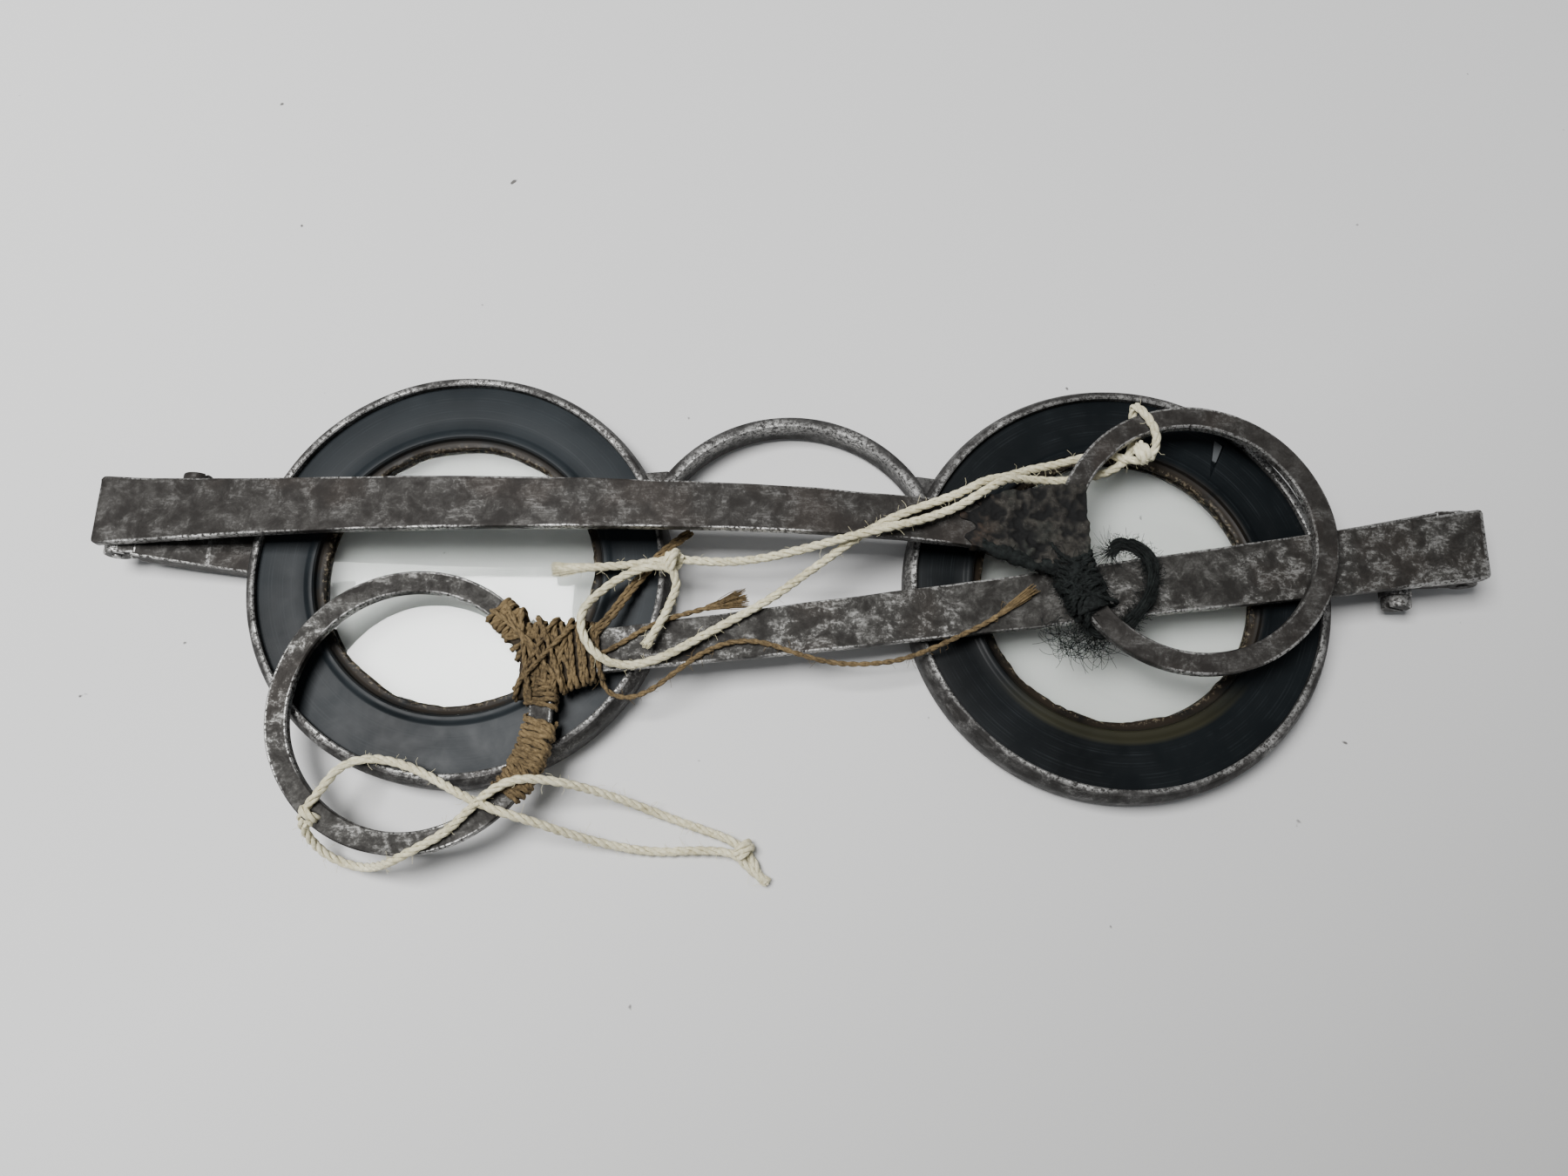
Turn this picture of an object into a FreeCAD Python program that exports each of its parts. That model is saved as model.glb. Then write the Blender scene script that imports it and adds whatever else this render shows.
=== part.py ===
import FreeCAD, Part
import os
import math

# Old steel spectacles, folded, lying front face down.  X runs along the
# spectacles, Y towards the brow, Z up from the table.  Millimetres.

V = FreeCAD.Vector
os.makedirs("parts", exist_ok=True)

# ---------------------------------------------------------------- eye rims
RIM_CENTRE_X = 30.5        # each rim's centre from the middle of the nose gap
RIM_OUT_R = 19.75
RIM_BAND = 1.15            # width of the band from outside to inside
RIM_IN_R = RIM_OUT_R - RIM_BAND
RIM_DEPTH = 4.2            # front to back
RIM_FLAT = 0.6             # width of the flat on the back edge
RIM_BEVEL_DEPTH = 1.1
GROOVE_DEPTH = 0.3         # the margin sits this far into the rim
SLIT = 0.12                # the rim is cut through at its closing joint

# ------------------------------------------------- horn margins and lenses
MARGIN_FRONT_Z = 1.0
MARGIN_SUNK = 0.7          # the margin's back lies below the rim's
MARGIN_BACK_Z = RIM_DEPTH - MARGIN_SUNK
MARGIN_OPEN_R = 12.4       # clear opening
REBATE_WIDTH = 0.8
REBATE_R = MARGIN_OPEN_R + REBATE_WIDTH
BEAD_TOP_R = REBATE_R + 0.2
BEAD_OUT_R = REBATE_R + 0.9
BEAD_RISE = 0.2
REBATE_DROP = 0.35
CRACK_ANGLE = 51.0         # one margin has a short radial crack
CRACK_WIDTH = 0.4
CRACK_IN_R = REBATE_R + 0.1
CRACK_OUT_R = RIM_IN_R - 1.4
LENS_R = MARGIN_OPEN_R + 0.5
LENS_FRONT_Z = 1.8
LENS_EDGE = 0.9            # thickness at the edge
LENS_BACK_Z = LENS_FRONT_Z + LENS_EDGE
LENS_CROWN = 0.45          # how far each face bulges

# ------------------------------------------------------------------ bridge
BRIDGE_CX = 0.2
BRIDGE_CY = 1.6
BRIDGE_REACH = 4.0         # the arch is this much wider than half the gap
BRIDGE_OUT_R = RIM_CENTRE_X - RIM_OUT_R + BRIDGE_REACH
BRIDGE_WIDTH = 1.2
BRIDGE_FRONT_Z = 0.6
BRIDGE_BACK_Z = 3.6
WEB_FRONT_Z = 1.0
WEB_BACK_Z = 3.0

# ------------------------------------------------- endpieces and hinges
HINGE_OUT = 12.15          # hinge axis from the rim's outer face
HINGE_X = RIM_CENTRE_X + RIM_OUT_R + HINGE_OUT
STRIP_CLEAR = 0.7          # the sides' inner faces above the rims' backs
STRIP_Z = RIM_DEPTH + STRIP_CLEAR
BARREL_R = 1.25
STRIP_GAP = 0.3            # the sides' inner faces above the barrels
HINGE_Z = STRIP_Z - STRIP_GAP - BARREL_R
PIN_R = 0.5
PIN_PLAY = 0.05            # all round, inside the side's knuckle
PIN_PROUD = 0.15
KNUCKLE_PLAY = 0.06        # end play between knuckles
BARREL_LOW_Y = 0.9
BARREL_HIGH_Y = 7.9
MID_LOW_Y = 2.75
MID_HIGH_Y = 6.05
EP_SPLIT_Y = 4.3           # where the two halves of the endpiece meet
EP_TOP_Y = 8.2             # flat top, under the upper screw's head
SLANT_TOP_Y = 7.7          # the other one slants up towards its hinge
SLANT_ROOT_Y = 5.9
EP_ROOT_FRONT_Z = 1.1
EP_ROOT_BACK_Z = RIM_DEPTH - 1.15
NOTCH_GAP = 0.35
SCREW_IN = 5.8             # from the hinge axis towards the rim
SCREW_X = HINGE_X - SCREW_IN
SCREW_Z = 2.4
SCREW_R = 0.6
HEAD_R = 1.3
HEAD_H = 1.1
SLOT_W = 0.35
SLOT_D = 0.45
BOSS_R = 1.5
BOSS_LOW_Y = -0.1

# ------------------------------------------------------------------- sides
SIDE_T = 1.0
SIDE_END_OVER = 1.3        # the strip runs on past the hinge axis
RING_OUT_R = 12.6
RING_BAND = 2.0
RING_IN_R = RING_OUT_R - RING_BAND
L_LENGTH = 99.1            # hinge axis to ring centre
R_LENGTH = 95.45
RING_LIFT = 0.9            # the upper ring above the lower strip
L_RING_X = L_LENGTH - HINGE_X
L_RING_Y = 3.65
L_RING_Z = STRIP_Z + SIDE_T + RING_LIFT
R_RING_X = HINGE_X - R_LENGTH
R_RING_Y = -13.2
END_X = HINGE_X + SIDE_END_OVER
# stations along each strip: share of the way to the ring, middle y, width
L_SHARES = [(0.0646, 4.75, 5.8), (0.1655, 4.95, 5.2), (0.3068, 5.15, 4.9),
            (0.4682, 5.2, 4.5), (0.6297, 5.05, 4.2), (0.7709, 4.5, 4.1)]
R_SHARES = [(0.1351, 2.1, 6.0), (0.3971, -1.7, 5.1), (0.6537, -5.25, 4.5),
            (0.8161, -7.4, 3.95)]
L_STRIP = [(-END_X, 4.6, 6.5)] + [(f * L_LENGTH - HINGE_X, y, w)
                                  for f, y, w in L_SHARES]
R_STRIP = [(END_X, 4.3, 6.6)] + [(HINGE_X - f * R_LENGTH, y, w)
                                 for f, y, w in R_SHARES]
# where each strip widens into its ring: from the ring's centre, middle y, width
L_FLARE = [L_STRIP[-1]] + [(L_RING_X + d, L_RING_Y + y, w) for d, y, w in (
    (-18.2, 0.75, 5.0), (-13.7, 0.7, 7.0), (-10.2, 0.55, 8.0))]
R_FLARE = [R_STRIP[-1]] + [(R_RING_X + d, R_RING_Y + y, w) for d, y, w in (
    (13.55, 5.2, 4.4), (10.05, 4.5, 5.4))]
# height of the upper strip's inner face over the hinge end's
BOW_SHARES = [(0.0494, 0.3), (0.1655, 1.5), (0.3269, 2.9), (0.5086, 3.5), (0.67, 3.2),
              (0.7911, 2.4)]
L_BOW = [(f * L_LENGTH - HINGE_X, STRIP_Z + rise) for f, rise in BOW_SHARES]

# ---------------------------------------------------- bindings and threads
BIND_T = 0.6               # linen thread, two layers
BIND_FROM = 5.0            # ring angles, degrees
BIND_TO = 53.0
BIND_REACH = 16.45         # from the ring's centre along the strip
LOWER_BIND_FROM = -38.0
LOWER_BIND_TO = -4.0
SILK_T = 0.4
SILK_FROM = 160.0
SILK_TO = 214.0
SILK_REACH = 20.7          # from the ring's centre along the strip
SILK_END = 9.7
LINEN_R = 0.25
SILK_TAIL_R = 0.3
STRING_R = 0.4

# The box round everything but the cords is centred on the frame's origin.
Y_TOP = RIM_OUT_R
Y_LOW = R_RING_Y - RING_OUT_R
SHIFT = V(0, -(Y_TOP + Y_LOW) / 2.0, 0)


def save(name, shape):
    s = shape.copy()
    s.translate(SHIFT)
    if not s.isValid():
        print("not valid:", name)
    n = len(s.Solids)
    b = s.BoundBox
    print("%-26s solids %d  vol %9.3f  x %.2f..%.2f y %.2f..%.2f z %.2f..%.2f" % (
        name, n, s.Volume, b.XMin, b.XMax, b.YMin, b.YMax, b.ZMin, b.ZMax))
    s.exportStep("parts/" + name + ".step")


def spun(profile, cx, cy):
    """A solid of revolution about the vertical line at cx, cy."""
    pts = [V(cx + r, cy, z) for r, z in profile]
    face = Part.Face(Part.makePolygon(pts + [pts[0]]))
    return face.revolve(V(cx, cy, 0), V(0, 0, 1), 360)


def box(x0, x1, y0, y1, z0, z1):
    return Part.makeBox(x1 - x0, y1 - y0, z1 - z0, V(x0, y0, z0))


def y_cyl(x, z, r, y0, y1):
    return Part.makeCylinder(r, y1 - y0, V(x, y0, z), V(0, 1, 0))


def z_cyl(x, y, r, z0, z1):
    return Part.makeCylinder(r, z1 - z0, V(x, y, z0), V(0, 0, 1))


def plan(points, z0, z1):
    pts = [V(x, y, z0) for x, y in points]
    face = Part.Face(Part.makePolygon(pts + [pts[0]]))
    return face.extrude(V(0, 0, z1 - z0))


def spline(points):
    c = Part.BSplineCurve()
    c.interpolate(points)
    return c.toShape()


def one(shape):
    """The single solid of a shape, tidied."""
    s = shape.removeSplitter()
    return s.Solids[0] if len(s.Solids) == 1 else s


# ---------------------------------------------------------------- eye rims
def rim_profile():
    g = RIM_IN_R + GROOVE_DEPTH
    return [
        (RIM_IN_R, 0.0), (RIM_OUT_R - 0.45, 0.0), (RIM_OUT_R, 0.8),
        (RIM_OUT_R, RIM_DEPTH - RIM_BEVEL_DEPTH),
        (RIM_IN_R + RIM_FLAT, RIM_DEPTH), (RIM_IN_R, RIM_DEPTH),
        (RIM_IN_R, MARGIN_BACK_Z), (g, MARGIN_BACK_Z),
        (g, MARGIN_FRONT_Z), (RIM_IN_R, MARGIN_FRONT_Z),
    ]


def margin_profile():
    g = RIM_IN_R + GROOVE_DEPTH
    return [
        (g, MARGIN_FRONT_Z), (g, MARGIN_BACK_Z), (BEAD_OUT_R, MARGIN_BACK_Z),
        (BEAD_OUT_R - 0.2, MARGIN_BACK_Z + BEAD_RISE),
        (BEAD_TOP_R, MARGIN_BACK_Z + BEAD_RISE),
        (REBATE_R, MARGIN_BACK_Z - REBATE_DROP),
        (MARGIN_OPEN_R, MARGIN_BACK_Z - REBATE_DROP - 0.1),
        (MARGIN_OPEN_R, LENS_BACK_Z), (LENS_R, LENS_BACK_Z),
        (LENS_R, LENS_FRONT_Z), (MARGIN_OPEN_R, LENS_FRONT_Z),
        (MARGIN_OPEN_R, LENS_FRONT_Z - 0.3),
        (REBATE_R, MARGIN_FRONT_Z),
    ]


def lens(cx):
    """A round lens with two domed faces and a flat rim that fills the groove."""
    zf = LENS_FRONT_Z
    zb = LENS_BACK_Z
    o = MARGIN_OPEN_R
    zm = (zf + zb) / 2.0
    disc = z_cyl(cx, 0, LENS_R, zf, zb)
    rad = (o * o + LENS_CROWN ** 2) / (2.0 * LENS_CROWN)
    caps = []
    for sign, z in ((1, zb), (-1, zf)):
        ball = Part.makeSphere(rad, V(cx, 0, z + sign * (LENS_CROWN - rad)))
        zo = z + sign * 2.0 * LENS_CROWN
        slab = box(cx - o - 1, cx + o + 1, -o - 1, o + 1, min(z, zo), max(z, zo))
        caps.append(ball.common(slab))
    return one(disc.fuse(caps))


rims = {}
full_rims = {}
for side, sx in (("left", -1), ("right", 1)):
    cx = sx * RIM_CENTRE_X
    full = spun(rim_profile(), cx, 0)
    full_rims[side] = full
    xa = sx * (RIM_CENTRE_X + RIM_IN_R - 2.0)
    xb = sx * (RIM_CENTRE_X + RIM_OUT_R + 1.0)
    slit = box(min(xa, xb), max(xa, xb), EP_SPLIT_Y - SLIT / 2, EP_SPLIT_Y + SLIT / 2,
               -1, RIM_DEPTH + 1)
    rims[side] = one(full.cut(slit))
    save(side + "_eye_rim", rims[side])
    margin = spun(margin_profile(), cx, 0)
    if side == "right":
        crack = box(CRACK_IN_R, CRACK_OUT_R, -CRACK_WIDTH / 2, CRACK_WIDTH / 2, 0, 5)
        crack.rotate(V(0, 0, 0), V(0, 0, 1), CRACK_ANGLE)
        crack.translate(V(cx, 0, 0))
        margin = margin.cut(crack)
    save(side + "_horn_margin", one(margin))
    save(side + "_lens", lens(cx))


def outside_rims(shape):
    """Trim a shape so that it ends on the rims' outer faces."""
    for side, sx in (("left", -1), ("right", 1)):
        core = z_cyl(sx * RIM_CENTRE_X, 0, RIM_IN_R + 0.45, -1, RIM_DEPTH + 2)
        shape = shape.cut(core).cut(full_rims[side])
    return shape


# ------------------------------------------------------------------ bridge
arch = z_cyl(BRIDGE_CX, BRIDGE_CY, BRIDGE_OUT_R, BRIDGE_FRONT_Z, BRIDGE_BACK_Z)
arch = arch.cut(z_cyl(BRIDGE_CX, BRIDGE_CY, BRIDGE_OUT_R - BRIDGE_WIDTH, 0, 9))
arch = arch.common(box(-30, 30, 6.6, 30, 0, 9))
for sx in (-1, 1):
    web = plan([(BRIDGE_CX + sx * (BRIDGE_OUT_R + d), y) for d, y in (
        (-3.15, 10.3), (-1.15, 10.3), (0.75, 9.9), (-0.15, 7.0), (-1.85, 7.0))],
        WEB_FRONT_Z, WEB_BACK_Z)
    arch = arch.fuse(web.cut(z_cyl(BRIDGE_CX, BRIDGE_CY, BRIDGE_OUT_R - 0.4, 0, 9)))
bridge = outside_rims(arch)
bridge = one(Part.makeCompound([s for s in bridge.Solids if s.Volume > 5.0]))
save("bridge", bridge)

# -------------------------------------------------- endpieces and hinges
for side, sx in (("left", -1), ("right", 1)):
    hx = sx * HINGE_X
    zt = HINGE_Z + BARREL_R - 0.08
    zl = HINGE_Z - BARREL_R + 0.08
    root = HINGE_X - HINGE_OUT - 3.0
    low_root = BARREL_LOW_Y - 1.3 if side == "left" else BARREL_LOW_Y + 0.05
    prof = [(root, EP_ROOT_FRONT_Z), (SCREW_X + 0.4, EP_ROOT_FRONT_Z + 0.25),
            (HINGE_X - 1.4, zl), (HINGE_X, zl), (HINGE_X, zt),
            (HINGE_X - 1.4, zt - 0.1), (SCREW_X - 2.6, EP_ROOT_BACK_Z + 0.35),
            (root, EP_ROOT_BACK_Z)]
    pts = [V(sx * u, -3, z) for u, z in prof]
    slab = Part.Face(Part.makePolygon(pts + [pts[0]])).extrude(V(0, 16, 0))
    high_root = EP_TOP_Y if side == "left" else SLANT_ROOT_Y
    high_end = EP_TOP_Y if side == "left" else SLANT_TOP_Y
    outline = plan([(sx * root, low_root), (sx * (HINGE_X + 2), BARREL_LOW_Y),
                    (sx * (HINGE_X + 2), BARREL_HIGH_Y),
                    (sx * (HINGE_X - 2.4), high_end), (sx * root, high_root)], -1, 6)
    ep = slab.common(outline)
    ep = ep.fuse(y_cyl(hx, HINGE_Z, BARREL_R, BARREL_LOW_Y, BARREL_HIGH_Y))
    na = sx * (HINGE_X - BARREL_R - NOTCH_GAP)
    nb = sx * (HINGE_X + BARREL_R + 1.0)
    ep = ep.cut(box(min(na, nb), max(na, nb), MID_LOW_Y, MID_HIGH_Y, 0, 6))
    ep = ep.cut(y_cyl(hx, HINGE_Z, PIN_R, -2, 10))
    if side == "left":
        shank = y_cyl(-SCREW_X, SCREW_Z, SCREW_R, BARREL_LOW_Y + 0.1, EP_TOP_Y + 0.2)
        head = y_cyl(-SCREW_X, SCREW_Z, HEAD_R, EP_TOP_Y, EP_TOP_Y + HEAD_H)
        slot = box(-SCREW_X - 2, -SCREW_X + 2, EP_TOP_Y + HEAD_H - SLOT_D, 12,
                   SCREW_Z - SLOT_W / 2, SCREW_Z + SLOT_W / 2)
    else:
        boss = y_cyl(SCREW_X, SCREW_Z, BOSS_R, BOSS_LOW_Y, 2.0)
        ep = ep.fuse(boss.common(box(SCREW_X - 3, SCREW_X + 3, -3, 3, 0.95, 6)))
        shank = y_cyl(SCREW_X, SCREW_Z, SCREW_R, BOSS_LOW_Y - 0.2, SLANT_ROOT_Y)
        head = y_cyl(SCREW_X, SCREW_Z, HEAD_R, BOSS_LOW_Y - HEAD_H, BOSS_LOW_Y)
        slot = box(SCREW_X - 2, SCREW_X + 2, -5, BOSS_LOW_Y - HEAD_H + SLOT_D,
                   SCREW_Z - SLOT_W / 2, SCREW_Z + SLOT_W / 2)
    screw = one(shank.fuse(head).cut(slot))
    ep = outside_rims(ep.cut(shank))
    upper = ep.common(box(-90, 90, EP_SPLIT_Y, 14, -1, 9))
    lower = ep.common(box(-90, 90, -6, EP_SPLIT_Y, -1, 9))
    save(side + "_endpiece_upper", one(upper))
    save(side + "_endpiece_lower", one(lower))
    save(side + "_closing_screw", screw)
    pin = y_cyl(hx, HINGE_Z, PIN_R, BARREL_LOW_Y - PIN_PROUD, BARREL_HIGH_Y + PIN_PROUD)
    save(side + "_hinge_pin", pin)
    knuckle = y_cyl(hx, HINGE_Z, BARREL_R, MID_LOW_Y + KNUCKLE_PLAY,
                    MID_HIGH_Y - KNUCKLE_PLAY)
    neck = box(hx - BARREL_R, hx + BARREL_R, MID_LOW_Y + KNUCKLE_PLAY,
               MID_HIGH_Y - KNUCKLE_PLAY, HINGE_Z, STRIP_Z)
    knuckle = knuckle.fuse(neck).cut(y_cyl(hx, HINGE_Z, PIN_R + PIN_PLAY, 0, 10))
    save(side + "_side_knuckle", one(knuckle))


# ------------------------------------------------------------------- sides
def outline_of(stations):
    """A closed flat outline through the stations, with curved long edges."""
    top = [V(x, y + w / 2.0, 0) for x, y, w in stations]
    low = [V(x, y - w / 2.0, 0) for x, y, w in stations]
    edges = [spline(top), Part.makeLine(top[-1], low[-1]), spline(low[::-1]),
             Part.makeLine(low[0], top[0])]
    return Part.Face(Part.Wire(edges))


def ring_disc(cx, cy, z0, z1):
    ring = z_cyl(cx, cy, RING_OUT_R, z0, z1)
    return ring.cut(z_cyl(cx, cy, RING_IN_R, z0 - 1, z1 + 1))


def side_blank(strip, flare, z0, z1):
    a = outline_of(strip).extrude(V(0, 0, z1 - z0))
    b = outline_of(flare).extrude(V(0, 0, z1 - z0))
    a.translate(V(0, 0, z0))
    b.translate(V(0, 0, z0))
    return a.fuse(b)


# the upper side: cut from a bowed leaf
up = V(0, 0, SIDE_T)
tip = V(-END_X, -10, STRIP_Z)
knee = V(-END_X + 2.6, -10, STRIP_Z)
ring_mid = V(L_RING_X, -10, L_RING_Z)
curve = [knee] + [V(x, -10, z) for x, z in L_BOW] + [V(24.0, -10, L_RING_Z)]
inner_face = Part.BSplineCurve()
inner_face.interpolate(Points=curve, InitialTangent=V(1, 0, 0),
                       FinalTangent=V(1, 0, 0))
outer_face = Part.BSplineCurve()
outer_face.interpolate(Points=[p + up for p in curve], InitialTangent=V(1, 0, 0),
                       FinalTangent=V(1, 0, 0))
leaf = Part.Wire([
    Part.makeLine(tip, knee), inner_face.toShape(),
    Part.makeLine(curve[-1], ring_mid), Part.makeLine(ring_mid, ring_mid + up),
    Part.makeLine(ring_mid + up, curve[-1] + up), outer_face.toShape(),
    Part.makeLine(knee + up, tip + up), Part.makeLine(tip + up, tip),
])
leaf = Part.Face(leaf).extrude(V(0, 40, 0))
left_side = side_blank(L_STRIP, L_FLARE, 3, 14).common(leaf)
left_side = left_side.cut(z_cyl(L_RING_X, L_RING_Y, RING_OUT_R - 0.5, 0, 12))
left_side = one(left_side.fuse(ring_disc(L_RING_X, L_RING_Y, L_RING_Z,
                                         L_RING_Z + SIDE_T)))
save("left_side", left_side)

right_side = side_blank(R_STRIP, R_FLARE, STRIP_Z, STRIP_Z + SIDE_T)
right_side = right_side.cut(z_cyl(R_RING_X, R_RING_Y, RING_OUT_R - 0.5, 0, 12))
right_side = one(right_side.fuse(ring_disc(R_RING_X, R_RING_Y, STRIP_Z,
                                           STRIP_Z + SIDE_T)))
save("right_side", right_side)


# ---------------------------------------------------------------- bindings
def band_sleeve(cx, cy, z0, t, a0, a1):
    """A sleeve of wound thread round part of a ring's band."""
    r0 = RING_IN_R - t
    r1 = RING_OUT_R + t
    k = t * 0.7
    zt = z0 + SIDE_T + t
    prof = [(r0 + k, z0 - t), (r1 - k, z0 - t), (r1, z0 - t + k), (r1, zt - k),
            (r1 - k, zt), (r0 + k, zt), (r0, zt - k), (r0, z0 - t + k)]
    pts = [V(cx + r, cy, z) for r, z in prof]
    face = Part.Face(Part.makePolygon(pts + [pts[0]]))
    face.rotate(V(cx, cy, 0), V(0, 0, 1), a0)
    return face.revolve(V(cx, cy, 0), V(0, 0, 1), a1 - a0)


def grown(stations, t):
    return [(x, y, w + 2.0 * t) for x, y, w in stations]


def cord_path(points):
    """Straight runs joined by tangent arcs."""
    p = [V(*q) for q in points]
    edges = []
    start = p[0]
    for i in range(1, len(p) - 1):
        a = p[i - 1] - p[i]
        b = p[i + 1] - p[i]
        turn = math.pi - a.getAngle(b)
        cut = 0.45 * min(a.Length, b.Length)
        if turn < 1e-3:
            continue
        ua = V(a).normalize()
        ub = V(b).normalize()
        p1 = p[i] + ua * cut
        p2 = p[i] + ub * cut
        r = cut / math.tan(turn / 2.0)
        mid_dir = (ua + ub).normalize()
        far = math.hypot(cut, r)
        pm = p[i] + mid_dir * (far - r)
        edges.append(Part.LineSegment(start, p1).toShape())
        edges.append(Part.Arc(p1, pm, p2).toShape())
        start = p2
    edges.append(Part.LineSegment(start, p[-1]).toShape())
    return Part.Wire(edges)


def tube(points, r):
    path = cord_path(points)
    d = (V(*points[1]) - V(*points[0])).normalize()
    ring = Part.Wire(Part.makeCircle(r, V(*points[0]), d))
    solid = path.makePipeShell([ring], True, False)
    print("   cord of %.1f mm, section x length %.2f, volume %.2f" % (
        path.Length, math.pi * r * r * path.Length, solid.Volume))
    return solid


# linen binding over the lower side's junction, with its two short ends
sleeve = band_sleeve(R_RING_X, R_RING_Y, STRIP_Z, BIND_T, BIND_FROM, BIND_TO)
wrap_stations = [(R_RING_X + d, R_RING_Y + y, w + 2 * BIND_T) for d, y, w in (
    (BIND_REACH, 5.65, 3.95), (13.05, 5.1, 5.0), (9.05, 4.1, 6.4))]
collar = outline_of(wrap_stations).extrude(V(0, 0, SIDE_T + 2 * BIND_T))
collar.translate(V(0, 0, STRIP_Z - BIND_T))
junction = sleeve.fuse(collar).cut(right_side)
# the two short ends, from the ring's centre and the strip's underside
END_UP = [(15.85, 7.3, 1.3), (17.05, 8.8, 1.0), (18.25, 11.2, 0.0), (19.85, 13.5, -0.4),
          (21.45, 15.6, -0.4), (23.85, 17.4, -0.2)]
END_SHORT = [(15.85, 4.8, 1.3), (18.25, 6.1, 1.3), (20.45, 7.7, 1.3), (22.75, 8.7, 1.3),
             (25.05, 9.4, 1.3), (27.45, 10.1, 1.3)]
for end in (END_UP, END_SHORT):
    run = [(R_RING_X + x, R_RING_Y + y, STRIP_Z + z) for x, y, z in end]
    junction = junction.fuse(tube(run, LINEN_R))
junction = one(junction.cut(right_side))
save("linen_junction_binding", junction)
lower_wrap = band_sleeve(R_RING_X, R_RING_Y, STRIP_Z, BIND_T, LOWER_BIND_FROM,
                         LOWER_BIND_TO).cut(right_side)
save("linen_ring_binding", one(lower_wrap))

# silk remains over the upper side's junction
silk = band_sleeve(L_RING_X, L_RING_Y, L_RING_Z, SILK_T, SILK_FROM, SILK_TO)
flare = [(L_RING_X - SILK_REACH, L_RING_Y + 0.8, 4.5)] + L_FLARE[1:]
cuff = outline_of(grown(flare, SILK_T)).extrude(V(0, 0, 6))
cuff.translate(V(0, 0, STRIP_Z - 0.9))
zr0 = L_RING_Z - SILK_T
zr1 = L_RING_Z + SIDE_T + SILK_T
xr = L_RING_X - SILK_END
xs = L_RING_X - SILK_REACH
profile = [(xs - 2, zr0 + 0.7), (xs + 3, zr0 + 0.2), (xr - 4, zr0), (xr, zr0), (xr, zr1),
           (xr - 6, zr1 + 0.1), (xs, zr1 + 0.55), (xs - 2, zr1 + 0.7)]
profile = [V(x, -10, z) for x, z in profile]
thick = Part.Face(Part.makePolygon(profile + [profile[0]])).extrude(V(0, 40, 0))
silk = silk.fuse(cuff.common(thick)).cut(left_side)
silk = one(silk)
save("silk_binding", silk)
SILK_TAIL = [(26.9, -2.5, 6.5), (28.4, -3.9, 6.3), (31.0, -3.1, 6.26), (32.6, -1.1, 6.26),
             (32.8, 1.1, 6.26), (31.4, 2.5, 6.26), (29.6, 3.2, 6.3)]
save("silk_tail", one(tube(SILK_TAIL, SILK_TAIL_R).cut(silk).cut(left_side)))

# ------------------------------------------------------------------- cords
LINEN_TAIL = [(-16.4, -9.7, 5.5), (-16.2, -11.0, 4.8), (-14.2, -11.7, 4.6),
              (-12.0, -11.0, 5.0), (-9.6, -9.3, 6.1), (-7.4, -7.6, 6.3),
              (-4.8, -6.5, 6.25), (-2.0, -6.5, 6.25), (0.8, -7.5, 6.25),
              (4.2, -8.2, 5.4), (7.4, -8.1, 4.9), (10.4, -7.6, 4.8),
              (13.2, -6.6, 5.5), (15.8, -5.4, 6.3), (18.4, -4.1, 6.3),
              (20.4, -2.5, 6.3)]
save("linen_thread_tail", tube(LINEN_TAIL, LINEN_R))
STRING_A = [(-21.2, 0.2, 4.7), (-17.6, 0.4, 4.9), (-14.0, 0.6, 5.3), (-10.4, 1.2, 5.5),
            (-6.6, 0.8, 5.9), (-3.0, 0.9, 6.6), (0.6, 1.4, 8.0), (4.2, 2.0, 9.6),
            (8.0, 2.9, 10.5), (11.6, 3.9, 9.9), (15.0, 5.4, 9.4), (17.6, 7.2, 9.3),
            (19.6, 8.7, 8.2), (22.0, 9.3, 6.4), (25.0, 9.4, 5.7), (28.0, 9.9, 5.7),
            (30.4, 10.8, 5.7), (31.8, 12.4, 5.9), (32.1, 14.8, 6.1), (32.1, 16.7, 7.2),
            (32.2, 14.9, 8.4), (32.3, 12.4, 8.2), (31.3, 12.6, 6.6), (29.4, 12.9, 5.8),
            (27.4, 11.9, 5.6), (24.8, 11.1, 5.7), (22.2, 10.4, 6.1), (20.0, 9.3, 7.1),
            (17.6, 8.3, 8.7), (15.2, 6.7, 9.4), (12.2, 5.5, 9.55), (9.6, 4.5, 9.4),
            (7.4, 3.2, 9.6), (5.4, 2.0, 9.1), (3.4, 0.8, 7.6), (0.8, -1.0, 6.9),
            (-1.8, -2.9, 6.5), (-5.6, -5.1, 6.45), (-8.9, -7.2, 6.9), (-11.4, -8.5, 6.6),
            (-14.0, -9.1, 6.6), (-16.2, -8.7, 7.2), (-18.0, -6.7, 7.0), (-18.4, -4.4, 6.95),
            (-17.2, -2.4, 5.7), (-15.4, -0.8, 5.6), (-12.8, 0.2, 6.3), (-10.6, 0.2, 6.6),
            (-9.9, -1.2, 5.8), (-10.4, -3.2, 6.4), (-11.2, -5.4, 7.1), (-12.3, -7.3, 7.4)]
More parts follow.
